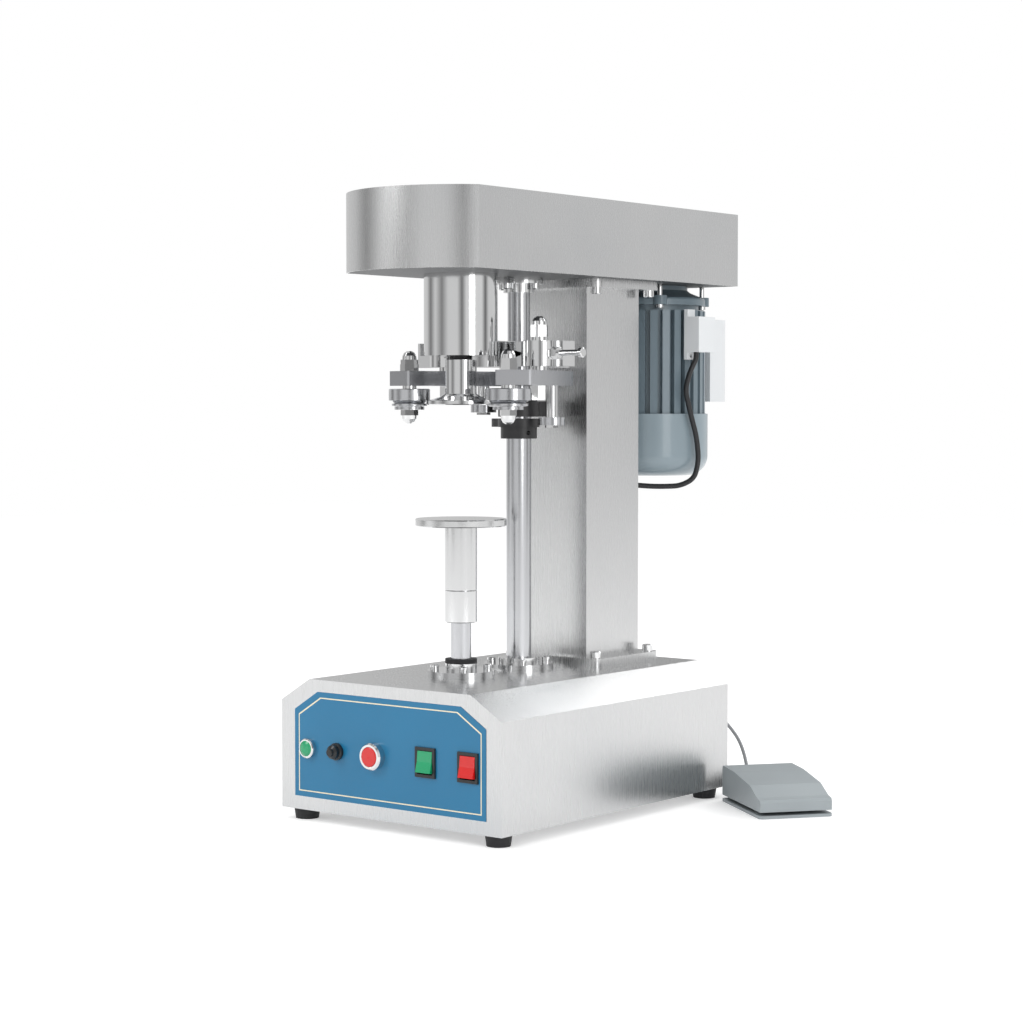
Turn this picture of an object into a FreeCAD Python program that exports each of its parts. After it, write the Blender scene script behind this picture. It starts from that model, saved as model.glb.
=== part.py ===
import FreeCAD, Part
import math
import os
import re
import Sketcher

# Bench-top can seamer with its foot switch. Millimetres, +Z up, +Y to the back, control panel facing -Y.
# Places are worked out from the middle of the base, then moved back so that the origin is the middle of
# the whole machine on the floor.

SIZES = {
    # base cabinet
    "base_width": 316.4, "base_length": 432.0, "base_height": 160.4, "base_bevel_width": 42.4,
    "base_bevel_drop": 25.6, "sheet": 2.0, "panel_gap": 0.3, "foot_height": 13.0, "foot_radius": 15.0,
    "foot_tip_radius": 13.0, "foot_inset": 20.0, "bed_thickness": 8.0, "bed_margin": 5.8,
    "bed_setback": 30.0,
    # column between base and head
    "column_y": 137.0, "column_width": 92.0, "column_depth": 105.0, "column_wall": 4.0,
    "flange_width": 140.0, "flange_depth": 129.0, "flange_thickness": 9.6, "flange_corner": 10.0,
    "column_bolt_x": 60.0, "column_bolt_y": 53.0, "bolt_radius": 4.0, "bolt_head_radius": 6.5,
    "bolt_head": 8.0, "bolt_gap": 0.4, "bolt_reach": 18.6,
    # belt guard and head plate
    "head_bottom": 612.0, "total_height": 700.0, "guard_half_width": 95.0, "nose_radius": 127.5,
    "guard_rear": 332.0, "guard_sheet": 2.0, "plate_thickness": 12.0,
    # seaming spindle
    "spindle_y": -90.4, "housing_radius": 41.3, "housing_bottom": 520.5, "bearing_radius": 23.5,
    "bearing_width": 14.0, "housing_lip": 6.0, "spindle_radius": 10.0, "running_gap": 0.05,
    "seat_gap": 0.05, "seal_radius": 12.6, "seal_height": 8.0, "seal_gap": 0.4,
    "chuck_top": 516.0, "chuck_bottom": 465.7, "sleeve_radius": 17.8, "chuck_radius": 38.5,
    "chuck_rim": 4.8, "chuck_flare": 12.3, "chuck_recess": 2.5, "chuck_lip": 6.0,
    # belt drive
    "pulley_top": 664.0, "pulley_width": 16.0, "driven_radius": 62.0, "drive_radius": 28.0,
    "pulley_hub": 18.0, "groove_depth": 8.0, "groove_half_width": 5.4, "groove_floor": 3.0,
    "belt_thickness": 5.6, "belt_half_width": 4.5, "belt_floor": 3.0,
    "belt_gap": 0.35,
    # drive motor
    "motor_y": 280.0, "motor_core_radius": 60.0, "stator_radius": 36.0, "fin_radius": 68.0,
    "fin_width": 9.0, "fin_count": 28, "fin_stop": 6.5, "frame_flange": 4.0,
    "frame_bottom": 455.3, "frame_top": 588.0,
    "motor_shaft_radius": 9.5, "rotor_gap": 0.5, "bearing_web": 7.0, "shield_rim": 8.0,
    "shield_shoulder": 13.0, "shield_neck_radius": 46.0, "shield_wall": 6.0, "ear_radius": 9.0,
    "motor_bolt_circle": 65.0, "motor_bolt_radius": 3.0, "motor_bolt_head": 4.6, "cowl_radius": 71.5, "cowl_bottom": 379.0,
    "cowl_sheet": 2.0, "cowl_round": 24.0, "cowl_overlap": 0.3, "inlet_radius": 40.0, "fan_radius": 56.0,
    "fan_height": 26.0, "fan_blades": 8, "capacitor_width": 52.0, "capacitor_depth": 39.5,
    "capacitor_bottom": 470.0, "capacitor_top": 573.0, "capacitor_x": 18.0, "box_round": 7.0,
    "box_seat": 0.3, "terminal_depth": 21.5, "terminal_width": 36.0, "terminal_bottom": 530.0,
    "terminal_top": 573.0, "terminal_y": -8.0, "terminal_ear": 9.0, "terminal_ear_width": 16.0,
    "terminal_ear_thickness": 5.0,
    # head bracket with the lever pivots
    "bracket_bottom": 509.0, "bracket_top": 537.5, "pivot_x": 67.4, "pivot_y": -34.0, "boss_radius": 20.0,
    "bracket_front": -26.0, "bracket_back": -4.0, "bracket_half_width": 94.6, "bracket_arm": 33.0,
    "bracket_clearance": 0.3, "spring_arm_end": 118.0, "spring_arm_height": 14.0, "spring_arm_depth": 10.0,
    "spring_arm_tab": 3.5, "pivot_radius": 6.0, "pivot_nut_radius": 10.5, "pivot_nut": 8.0,
    "washer": 4.4, "washer_radius": 9.0, "acorn_height": 15.0, "adjuster_radius": 3.5,
    "adjuster_length": 42.0, "adjuster_nut": 7.5, "adjuster_depth": 11.0, "adjuster_z": 523.5,
    # seaming levers, measured along and across each lever from its pivot
    "lever_angle": 18.0, "lever_bottom": 487.5, "lever_top": 504.3, "lever_front": 69.2,
    "lever_rear": 77.0, "lever_inner": 27.4, "lever_outer": 14.6, "lever_chamfer": 2.0,
    "pin_forward": 59.7, "pin_inward": 14.9, "pin_radius": 6.0, "follower_back": 49.1,
    "follower_inward": 2.4,
    "pin_nut_radius": 10.5, "pin_nut": 7.5, 
    "first_roller_radius": 25.5, "second_roller_radius": 23.5, "roller_top": 484.0,
    "roller_land": 14.0, "roller_groove": 3.0, "roller_groove_depth": 3.2, "roller_flange": 2.2,
    "roller_hub_radius": 17.0, "roller_hub": 4.5, "lower_acorn": 15.5,
    "follower_radius": 15.0, "follower_height": 9.0, "first_follower_top": 451.6,
    "second_follower_top": 466.0, "follower_nut": 2.6, "follower_nut_radius": 8.0,
    # camshaft
    "camshaft_y": 15.0, "cam_shaft_radius": 14.4, "upper_shaft_radius": 13.0, "upper_shaft_bottom": 480.0,
    "cam_base_radius": 24.0, "cam_lift": 40.8, "first_cam_bottom": 440.3, "first_cam_top": 450.0,
    "second_cam_bottom": 452.2, "second_cam_top": 470.0, "cam_hub_radius": 21.0, "first_hub": 13.3,
    "second_hub": 9.5, "set_screw_radius": 2.5, "set_screw_angle": -20.0,
    "first_cam_angle": 160.0, "second_cam_angle": 81.0, "cam_dwell": 16.0,
    "cam_ramp": 32.0, "camshaft_bottom": 44.0, "camshaft_top": 609.0, "base_bearing_radius": 40.0,
    "base_bearing_flange": 7.0, "base_bearing_hub": 24.0, "base_bearing_height": 13.4,
    "top_bearing_radius": 28.0, "top_bearing_flange": 7.0, "top_bearing_hub": 17.8,
    "top_bearing_height": 17.0, "bearing_spigot": 20.0, "spigot_gap": 0.4,
    # can lift
    "lift_shaft_radius": 11.55, "guide_radius": 38.0, "guide_flange": 7.4, "guide_hub": 18.0,
    "guide_height": 15.2, "guide_spigot": 17.0, "lift_seal_radius": 18.0, "lift_seal_height": 5.0,
    "spigot_depth": 14.0,
    "collar_bottom": 221.8, "collar_top": 257.6, "tube_radius": 18.2, "plate_bottom": 330.0,
    "plate_top": 338.4, "plate_radius": 51.5, "plate_spigot_radius": 7.0, "plate_spigot": 18.0,
    "tube_cap": 22.0, "lift_shaft_top": 272.0, "ring_line": 0.4,
    "small_bolt_radius": 2.5, "small_head_radius": 5.0, "small_head": 6.5, "small_reach": 15.0, "guide_bolt_circle": 30.0,
    "base_bolt_circle": 32.0, "top_bolt_circle": 23.2,
    # lift drive inside the base
    "crank_pivot_y": -30.0, "crank_pivot_z": 112.0, "crank_arm": 60.4, "crank_leg": 40.0,
    "crank_ball": 8.0, "crank_angle": 16.6, "crank_hub": 12.0, "crank_bar": 8.0, "crank_width": 12.0, "crank_gap": 0.6, "cheek_half_width": 11.0,
    "cheek_thickness": 6.0, "cheek_gap": 1.0,
    "lift_foot_radius": 15.0, "lift_foot": 6.0, "lift_cam_low": 24.8, "lift_cam_high": 48.0,
    "lift_cam_turn": 120.0, "lift_cam_dwell": 150.0, "lift_cam_return": 75.0,
    "lift_cam_thickness": 18.0, "gearbox_width": 92.0, "gearbox_length": 84.0,
    "gearbox_top": 58.0, "lift_motor_radius": 21.0, "lift_motor_length": 95.0,
    # control panel
    "control_z": 83.0, "lamp_inset": 41.7, "lamp_radius": 11.0, "lamp_bezel": 6.0, "lamp_lens_radius": 8.6,
    "lamp_body_radius": 8.0, "lamp_depth": 20.0, "fuse_step": 42.5, "fuse_radius": 9.5,
    "fuse_collar": 5.0, "fuse_body_radius": 6.5, "fuse_depth": 28.0, "fuse_cap_radius": 7.6,
    "fuse_tip_radius": 4.6, "fuse_cap": 14.0, "button_x": -18.5, "button_gap": 0.3, "button_radius": 15.0,
    "button_bezel": 10.0, "button_cap_radius": 10.8, "button_travel": 3.5, "button_depth": 26.0,
    "button_body_radius": 10.9, "red_inset": 44.4, "switch_step": 59.0, "switch_width": 27.7,
    "switch_height": 32.5, "switch_frame": 2.6, "switch_rim": 3.4, "switch_depth": 22.0,
    "switch_tilt": 10.0, "rocker_gap": 0.6, "rocker_bulge": 4.6, "rocker_reach": 6.5,
    # foot switch
    "pedal_x": 247.5, "pedal_y": 181.3, "pedal_angle": -37.7, "pedal_length": 131.0, "pedal_width": 88.0,
    "pedal_rear": 42.0, "pedal_front": 21.0, "pedal_plate": 3.5, "pedal_slot": 4.0, "pedal_wall": 2.5,
    "pedal_ridge": 40.0, "pedal_lip": 12.0, "pedal_round": 5.0, "pedal_block": 40.0,
    "hinge_radius": 2.5, "hinge_inset": 9.0, "hinge_rise": 3.0,
    "relief_length": 21.5, "relief_radius": 4.6, "relief_tip": 2.9, "inlet_z": 8.4, "inlet_offset": 12.6,
    # cords
    "cord_radius": 2.0, "coil_radius": 22.0, "coil_layers": 4, "coil_x": 188.8, "coil_y": 270.4,
    "gland_x": 112.0, "gland_z": 98.0, "gland_length": 12.0, "gland_radius": 5.5,
    "gland_thread": 4.0, "gland_reach": 6.0, "gland_nut": 4.0,
    "lead_radius": 3.2, "column_gland_z": 372.0,
}

doc = FreeCAD.newDocument("can_seamer")
sheet = doc.addObject("Spreadsheet::Sheet", "sizes")
for row, (name, value) in enumerate(SIZES.items(), start=1):
    sheet.set(f"A{row}", name)
    sheet.set(f"B{row}", str(value))
    sheet.setAlias(f"B{row}", name)
doc.recompute()

BACKWARD = "(motor_y + fin_radius + box_seat + capacitor_depth - base_length / 2 - 16) / 2"
BASE_TOP = "base_height"
parts = []


def number(text):
    value = sheet.evalExpression(str(text))
    return float(getattr(value, "Value", value))


def bound(text):
    return re.sub(r"[a-z][a-z_]*[a-z]", lambda m: f"sizes.{m[0]}" if m[0] in SIZES else m[0], str(text))


def tie(target, **properties):
    for name, text in properties.items():
        target.setExpression(name.replace("__", "."), bound(text))


def place(target, x=0, y=0, z=0, turn=None):
    """Put an object at a point given from the middle of the base."""
    if turn:
        axis, angle = turn
        target.Placement = FreeCAD.Placement(FreeCAD.Vector(), FreeCAD.Rotation(axis, number(angle)))
    tie(target, Placement__Base__x=x, Placement__Base__y=f"({y}) - {BACKWARD}", Placement__Base__z=z)
    return target


def part(target, label):
    target.Label = label
    parts.append(target)
    return target


X_AXIS = FreeCAD.Vector(1, 0, 0)
Z_AXIS = FreeCAD.Vector(0, 0, 1)
FACING_FRONT = (X_AXIS, 90)
FACING_BACK = (X_AXIS, -90)
FACING_RIGHT = (FreeCAD.Vector(0, 1, 0), 90)


def new_body(name):
    return doc.addObject("PartDesign::Body", name)


def new_sketch(body, plane="XY_Plane", height=None):
    sketch = body.newObject("Sketcher::SketchObject", "outline")
    origin = [item for item in body.Origin.OriginFeatures if item.Role == plane][0]
    sketch.AttachmentSupport = [(origin, "")]
    sketch.MapMode = "FlatFace"
    if height is not None:
        tie(sketch, AttachmentOffset__Base__z=height)
    return sketch


def pin_point(sketch, curve, end, across, up):
    """Hold one point of the sketch at two named distances from its origin."""
    for kind, text, axis in (("DistanceX", across, -2), ("DistanceY", up, -1)):
        if str(text) == "0":
            sketch.addConstraint(Sketcher.Constraint("PointOnObject", curve, end, axis))
        else:
            index = sketch.addConstraint(Sketcher.Constraint(kind, -1, 1, curve, end, number(text)))
            sketch.setExpression(f"Constraints[{index}]", bound(text))


def add_outline(sketch, corners):
    """A closed outline of straight lines through corners given as pairs of expressions."""
    points = [FreeCAD.Vector(number(a), number(b), 0) for a, b in corners]
    lines = []
    for start, end in zip(points, points[1:] + points[:1]):
        lines.append(sketch.addGeometry(Part.LineSegment(start, end), False))
    for line, after in zip(lines, lines[1:] + lines[:1]):
        sketch.addConstraint(Sketcher.Constraint("Coincident", line, 2, after, 1))
    for line, (a, b) in zip(lines, corners):
        pin_point(sketch, line, 1, a, b)


def add_circle(sketch, across, up, radius):
    middle = FreeCAD.Vector(number(across), number(up), 0)
    curve = sketch.addGeometry(Part.Circle(middle, Z_AXIS, number(radius)), False)
    pin_point(sketch, curve, 3, across, up)
    index = sketch.addConstraint(Sketcher.Constraint("Radius", curve, number(radius)))
    sketch.setExpression(f"Constraints[{index}]", bound(radius))


def add_nose(sketch, half_width, radius, rear):
    """Straight sides and back, with a shallow arc about the sketch's origin in front."""
    w, r, back = number(half_width), number(radius), number(rear)
    corner = -math.sqrt(r * r - w * w)
    points = [(w, corner), (w, back), (-w, back), (-w, corner)]
    points = [FreeCAD.Vector(a, b, 0) for a, b in points]
    for start, end in zip(points, points[1:]):
        sketch.addGeometry(Part.LineSegment(start, end), False)
    angle = math.atan2(corner, w)
    circle = Part.Circle(FreeCAD.Vector(), Z_AXIS, r)
    sketch.addGeometry(Part.ArcOfCircle(circle, -math.pi - angle, angle), False)
    for joint in ((0, 2, 1, 1), (1, 2, 2, 1), (2, 2, 3, 1), (3, 2, 0, 1), (3, 3, -1, 1)):
        sketch.addConstraint(Sketcher.Constraint("Coincident", *joint))
    pin_point(sketch, 1, 1, half_width, rear)
    pin_point(sketch, 2, 1, f"-({half_width})", rear)
    sketch.addConstraint([Sketcher.Constraint("Vertical", 0), Sketcher.Constraint("Vertical", 2)])
    index = sketch.addConstraint(Sketcher.Constraint("Radius", 3, r))
    sketch.setExpression(f"Constraints[{index}]", bound(radius))


def pad(body, sketch, length, reverse=False, middle=False):
    feature = body.newObject("PartDesign::Pad", "pad")
    feature.Profile = sketch
    feature.Midplane = middle
    feature.Reversed = reverse
    tie(feature, Length=length)
    doc.recompute()
    return feature


def pocket(body, sketch, depth=None, reverse=False):
    """Cut along the sketch's normal, and stop if nothing was cut."""
    before = body.Shape.Volume
    feature = body.newObject("PartDesign::Pocket", "pocket")
    feature.Profile = sketch
    feature.Reversed = reverse
    if depth is None:
        feature.Type = "ThroughAll"
        feature.Midplane = True
    else:
        tie(feature, Length=depth)
    doc.recompute()
    if body.Shape.Volume > before - 1e-3:
        raise RuntimeError(f"{body.Name}: {feature.Name} cuts nothing")
    return feature


def prism(name, corners, length, plane="XY_Plane", reverse=False, middle=False):
    body = new_body(name)
    sketch = new_sketch(body, plane)
    add_outline(sketch, corners)
    pad(body, sketch, length, reverse, middle)
    return body


def drill(body, circles, plane="XY_Plane"):
    """Round holes right through, each given as (across, up, radius)."""
    sketch = new_sketch(body, plane)
    for circle in circles:
        add_circle(sketch, *circle)
    return pocket(body, sketch)


def revolve(name, corners):
    """Turn a half section, given as pairs of (radius, height), about the vertical axis."""
    body = new_body(name)
    sketch = new_sketch(body, "XZ_Plane")
    add_outline(sketch, corners)
    feature = body.newObject("PartDesign::Revolution", "turning")
    feature.Profile = sketch
    feature.ReferenceAxis = (sketch, ["V_Axis"])
    feature.Angle = 360
    doc.recompute()
    return body


def tube_section(inner, outer, bottom, top):
    return [(inner, bottom), (outer, bottom), (outer, top), (inner, top)]


def rectangle(x_low, y_low, x_high, y_high):
    return [(x_low, y_low), (x_high, y_low), (x_high, y_high), (x_low, y_high)]


def ring_of(body, feature, count):
    pattern = body.newObject("PartDesign::PolarPattern", "ring")
    pattern.Originals = [feature]
    pattern.Axis = (feature.Profile[0], ["N_Axis"])
    pattern.Angle = 360
    tie(pattern, Occurrences=count)
    body.Tip = pattern
    doc.recompute()
    return pattern


def upright_edges(feature, x_limit=0.0, y_limit=0.0):
    """Names of the vertical straight edges outside the given distances from the middle."""
    names = []
    for index, edge in enumerate(feature.Shape.Edges, start=1):
        if len(edge.Vertexes) != 2 or not isinstance(edge.Curve, Part.Line):
            continue
        a, b = (v.Point for v in edge.Vertexes)
        upright = abs(a.x - b.x) + abs(a.y - b.y) < 1e-6
        if upright and abs(a.x) >= x_limit and abs(a.y) >= y_limit:
            names.append(f"Edge{index}")
    return names


def round_edges(body, feature, names, radius):
    fillet = body.newObject("PartDesign::Fillet", "rounding")
    fillet.Base = (feature, names)
    tie(fillet, Radius=radius)
    doc.recompute()
    return fillet


def group(label, members):
    """Several separate solids in one named part."""
    together = doc.addObject("Part::Compound", label)
    together.Links = members
    doc.recompute()
    return part(together, label)


def solid(label, shape, x=0, y=0, z=0, turn=None):
    feature = doc.addObject("Part::Feature", label)
    feature.Shape = shape
    return place(feature, x, y, z, turn)


def at_corners(across, up):
    return [(a + across, b + up) for a in ("-", "") for b in ("-", "")]


def bolt_circle(radius, count=4, first=45.0):
    angles = [first + 360.0 / count * index for index in range(count)]
    return [(f"({radius}) * cos({angle})", f"({radius}) * sin({angle})") for angle in angles]


# ---- base cabinet ---------------------------------------------------------------------------------

HALF = "base_width / 2"
BEVEL = "atan(base_bevel_drop / base_bevel_width)"
SIDE_TOP = "(base_height - base_bevel_drop)"


def end_outline(inset="0", bottom="foot_height"):
    """One end of the cabinet: a box with both upper corners cut off."""
    side = f"({HALF} - {inset})"
    shoulder = f"({SIDE_TOP} - ({inset}) * (1 - sin({BEVEL})) / cos({BEVEL}))"
    top_x = f"({HALF} - base_bevel_width - ({inset}) * tan({BEVEL} / 2))"
    top = f"(base_height - {inset})"
    right = [(side, bottom), (side, shoulder), (top_x, top)]
    left = [(f"-{a}", b) for a, b in reversed(right)]
    return right + left


body = prism("base_shell", end_outline(), "base_length - 2 * sheet", "XZ_Plane", middle=True)
sketch = new_sketch(body, "XZ_Plane")
add_outline(sketch, end_outline("sheet", "foot_height - 1"))
pocket(body, sketch)
LIFT_HOLE = ("0", "spindle_y", "guide_spigot + spigot_gap")
CAM_HOLE = ("0", "camshaft_y", "bearing_spigot + spigot_gap")
COLUMN_BOLTS = at_corners("column_bolt_x", "column_bolt_y")
BED_HOLES = [LIFT_HOLE, CAM_HOLE]
BED_HOLES += [(a, f"column_y + ({b})", "bolt_radius + bolt_gap") for a, b in COLUMN_BOLTS]
GUIDE_BOLTS = bolt_circle("guide_bolt_circle")
BASE_BOLTS = bolt_circle("base_bolt_circle")
BED_HOLES += [(a, f"spindle_y + {b}", "small_bolt_radius + bolt_gap") for a, b in GUIDE_BOLTS]
BED_HOLES += [(a, f"camshaft_y + {b}", "small_bolt_radius + bolt_gap") for a, b in BASE_BOLTS]
drill(body, BED_HOLES)
part(place(body), "base_shell")

body = prism("front_panel", end_outline(), "sheet", "XZ_Plane")
LAMP_X = "(lamp_inset - base_width / 2)"
FUSE_X = f"({LAMP_X} + fuse_step)"
RED_X = "(base_width / 2 - red_inset)"
GREEN_X = f"({RED_X} - switch_step)"
sketch = new_sketch(body, "XZ_Plane")
add_circle(sketch, LAMP_X, "control_z", "lamp_body_radius + seat_gap")
add_circle(sketch, FUSE_X, "control_z", "fuse_body_radius + seat_gap")
add_circle(sketch, "button_x", "control_z", "button_body_radius + seat_gap")
SWITCH_CUT_X = "(switch_width / 2 - switch_rim / 2)"
SWITCH_CUT_Z = "(switch_height / 2 - switch_rim / 2)"
for middle_x in (GREEN_X, RED_X):
    low, high = f"{middle_x} - {SWITCH_CUT_X}", f"{middle_x} + {SWITCH_CUT_X}"
    add_outline(sketch, rectangle(low, f"control_z - {SWITCH_CUT_Z}", high, f"control_z + {SWITCH_CUT_Z}"))
pocket(body, sketch)
part(place(body, y="-base_length / 2 + sheet"), "front_panel")

body = prism("bottom_tray", end_outline(), "sheet", "XZ_Plane", reverse=True)
TRAY_SIDE = "(base_width / 2 - sheet - panel_gap)"
sketch = new_sketch(body, "XY_Plane", "foot_height")
add_outline(sketch, rectangle(f"-{TRAY_SIDE}", "-(base_length - 2 * sheet - panel_gap)", TRAY_SIDE, "0"))
pad(body, sketch, "sheet")
drill(body, [("gland_x", "gland_z", "gland_thread + seat_gap")], "XZ_Plane")
part(place(body, y="base_length / 2 - sheet"), "bottom_tray")

BED_SIDE = "(base_width / 2 - base_bevel_width - bed_margin)"
BED_REAR = "(base_length / 2 - sheet - bed_margin)"
body = prism("bed_plate", rectangle(f"-{BED_SIDE}", "-base_length / 2 + bed_setback", BED_SIDE, BED_REAR),
             "bed_thickness")
drill(body, BED_HOLES)
part(place(body, z="base_height - sheet - bed_thickness"), "bed_plate")

feet = []
for a, b in at_corners("(base_width / 2 - foot_inset)", "(base_length / 2 - foot_inset)"):
    foot = doc.addObject("Part::Cone", "foot")
    tie(foot, Radius1="foot_tip_radius", Radius2="foot_radius", Height="foot_height")
    feet.append(place(foot, a, b))
group("rubber_feet", feet)

# ---- column ---------------------------------------------------------------------------------------

COLUMN_HEIGHT = "(head_bottom - base_height)"
FLANGE = rectangle("-flange_width / 2", "-flange_depth / 2", "flange_width / 2", "flange_depth / 2")
body = prism("column", FLANGE, "flange_thickness")
sketch = new_sketch(body, "XY_Plane", f"{COLUMN_HEIGHT} - flange_thickness")
add_outline(sketch, FLANGE)
feature = pad(body, sketch, "flange_thickness")
feature = round_edges(body, feature, upright_edges(feature), "flange_corner")
sketch = new_sketch(body, "XY_Plane", "flange_thickness")
OUTER = rectangle("-column_width / 2", "-column_depth / 2", "column_width / 2", "column_depth / 2")
INNER = rectangle("-column_width / 2 + column_wall", "-column_depth / 2 + column_wall",
                  "column_width / 2 - column_wall", "column_depth / 2 - column_wall")
add_outline(sketch, OUTER)
add_outline(sketch, INNER)
pad(body, sketch, f"{COLUMN_HEIGHT} - 2 * flange_thickness")
drill(body, [(a, b, "bolt_radius + bolt_gap") for a, b in COLUMN_BOLTS])
sketch = new_sketch(body, "XZ_Plane")
add_circle(sketch, "0", "column_gland_z - base_height", "gland_thread + seat_gap")
pocket(body, sketch, "column_depth")
part(place(body, y="column_y", z="base_height"), "column")

# ---- head plate and belt guard -------------------------------------------------------------------

GUARD_REAR = "guard_rear - spindle_y"
body = new_body("belt_guard")
sketch = new_sketch(body)
add_nose(sketch, "guard_half_width", "nose_radius", GUARD_REAR)
pad(body, sketch, "total_height - head_bottom")
sketch = new_sketch(body)
add_nose(sketch, "guard_half_width - guard_sheet", "nose_radius - guard_sheet", f"{GUARD_REAR} - guard_sheet")
pocket(body, sketch, "total_height - head_bottom - guard_sheet", reverse=True)
part(place(body, y="spindle_y", z="head_bottom"), "belt_guard")

body = new_body("top_plate")
sketch = new_sketch(body)
INSET = "guard_sheet - panel_gap"
add_nose(sketch, f"guard_half_width - {INSET}", f"nose_radius - {INSET}", f"{GUARD_REAR} - {INSET}")
pad(body, sketch, "plate_thickness")
MOTOR_BACK = "motor_y - spindle_y"
PLATE_HOLES = [("0", "0", "spindle_radius + 6"), ("0", MOTOR_BACK, "motor_shaft_radius + 8")]
PLATE_HOLES += [(a, f"column_y - spindle_y + ({b})", "bolt_radius + bolt_gap") for a, b in COLUMN_BOLTS]
MOTOR_BOLTS = bolt_circle("motor_bolt_circle")
PLATE_HOLES += [(a, f"{MOTOR_BACK} + {b}", "motor_bolt_radius + bolt_gap") for a, b in MOTOR_BOLTS]
TOP_BOLTS = bolt_circle("top_bolt_circle", 4, 0.0)
PLATE_HOLES += [(a, f"camshaft_y - spindle_y + {b}", "small_bolt_radius + bolt_gap") for a, b in TOP_BOLTS]
drill(body, PLATE_HOLES)
part(place(body, y="spindle_y", z="head_bottom"), "top_plate")

# ---- spindle --------------------------------------------------------------------------------------

SPAN = "(head_bottom - housing_bottom)"
part(place(revolve("spindle_housing", [
    ("seal_radius + seat_gap", "0"), ("housing_radius", "0"), ("housing_radius", SPAN),
    ("bearing_radius + seat_gap", SPAN), ("bearing_radius + seat_gap", "housing_lip"),
    ("seal_radius + seat_gap", "housing_lip")]), y="spindle_y", z="housing_bottom"), "spindle_housing")

bearings = []
for height in ("housing_bottom + housing_lip + seat_gap", "head_bottom - bearing_width - seat_gap"):
    ring = revolve("bearing", tube_section("spindle_radius + running_gap", "bearing_radius", "0", "bearing_width"))
    bearings.append(place(ring, y="spindle_y", z=height))
group("spindle_bearings", bearings)

SHAFT_FOOT = "(chuck_bottom + chuck_recess + chuck_lip)"
part(place(revolve("spindle_shaft", [
    ("0", "0"), ("spindle_radius", "0"), ("spindle_radius", f"pulley_top + 9 - {SHAFT_FOOT}"),
    ("0", f"pulley_top + 9 - {SHAFT_FOOT}")]), y="spindle_y", z=SHAFT_FOOT), "spindle_shaft")

RIM_IN = "(chuck_radius - chuck_lip)"
BORE = "spindle_radius + seat_gap"
part(place(revolve("seaming_chuck", [
    ("0", "chuck_recess"), (RIM_IN, "chuck_recess"), (f"{RIM_IN} + 1.5", "0"), ("chuck_radius - 1", "0"),
    ("chuck_radius", "1"), ("chuck_radius", "chuck_rim"), ("chuck_radius - 5", "chuck_rim + 1"),
    ("sleeve_radius + 5", "chuck_flare - 3"), ("sleeve_radius", "chuck_flare"),
    ("sleeve_radius", "chuck_top - chuck_bottom"), (BORE, "chuck_top - chuck_bottom"),
    (BORE, f"{SHAFT_FOOT} - chuck_bottom - seat_gap"), ("0", f"{SHAFT_FOOT} - chuck_bottom - seat_gap")]),
    y="spindle_y", z="chuck_bottom"), "seaming_chuck")


def pulley(name, radius, bore):
    """A single V-groove pulley with a hub under its rim."""
    half = "pulley_width / 2"
    floor = f"({radius} - groove_depth)"
    return revolve(name, [
        (bore, f"-{half} - 8"), ("pulley_hub", f"-{half} - 8"), ("pulley_hub", f"-{half}"),
        (radius, f"-{half}"), (radius, "-groove_half_width"), (floor, "-groove_floor"),
        (floor, "groove_floor"), (radius, "groove_half_width"), (radius, half), (bore, half)])


BELT_Z = "pulley_top - pulley_width / 2"
part(place(pulley("driven_pulley", "driven_radius", BORE), y="spindle_y", z=BELT_Z), "driven_pulley")
part(place(pulley("drive_pulley", "drive_radius", "motor_shaft_radius + seat_gap"), y="motor_y", z=BELT_Z),
     "drive_pulley")


def belt_loop():
    """A trapezoid section carried round both pulleys along two arcs and two straight runs."""
    deep = number("groove_depth - belt_gap")
    near, far = number("driven_radius") - deep, number("drive_radius") - deep
    span = number("motor_y - spindle_y")
    tilt = math.asin((near - far) / span)
    c, s = math.cos(tilt), math.sin(tilt)
    middle, other = FreeCAD.Vector(0, 0, 0), FreeCAD.Vector(0, span, 0)
    starts = [FreeCAD.Vector(near * c, near * s, 0), FreeCAD.Vector(-near * c, near * s, 0)]
    ends = [FreeCAD.Vector(far * c, span + far * s, 0), FreeCAD.Vector(-far * c, span + far * s, 0)]
    front, rear = FreeCAD.Vector(0, -near, 0), FreeCAD.Vector(0, span + far, 0)
    path = Part.Wire([Part.LineSegment(starts[0], ends[0]).toShape(), Part.Arc(ends[0], rear, ends[1]).toShape(),
                      Part.LineSegment(ends[1], starts[1]).toShape(),
                      Part.Arc(starts[1], front, starts[0]).toShape()])
    outward = FreeCAD.Vector(c, s, 0)
    tall, low = number("belt_half_width"), number("belt_floor - belt_gap")
    thick = number("belt_thickness")
    corners = [starts[0] + outward * depth + Z_AXIS * height
               for depth, height in ((0, -low), (thick, -tall), (thick, tall), (0, low))]
    section = Part.makePolygon(corners + corners[:1])
    return Part.Solid(path.makePipeShell([section], True, False))


part(solid("v_belt", belt_loop(), y="spindle_y", z=BELT_Z), "v_belt")

# ---- drive motor ----------------------------------------------------------------------------------

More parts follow.
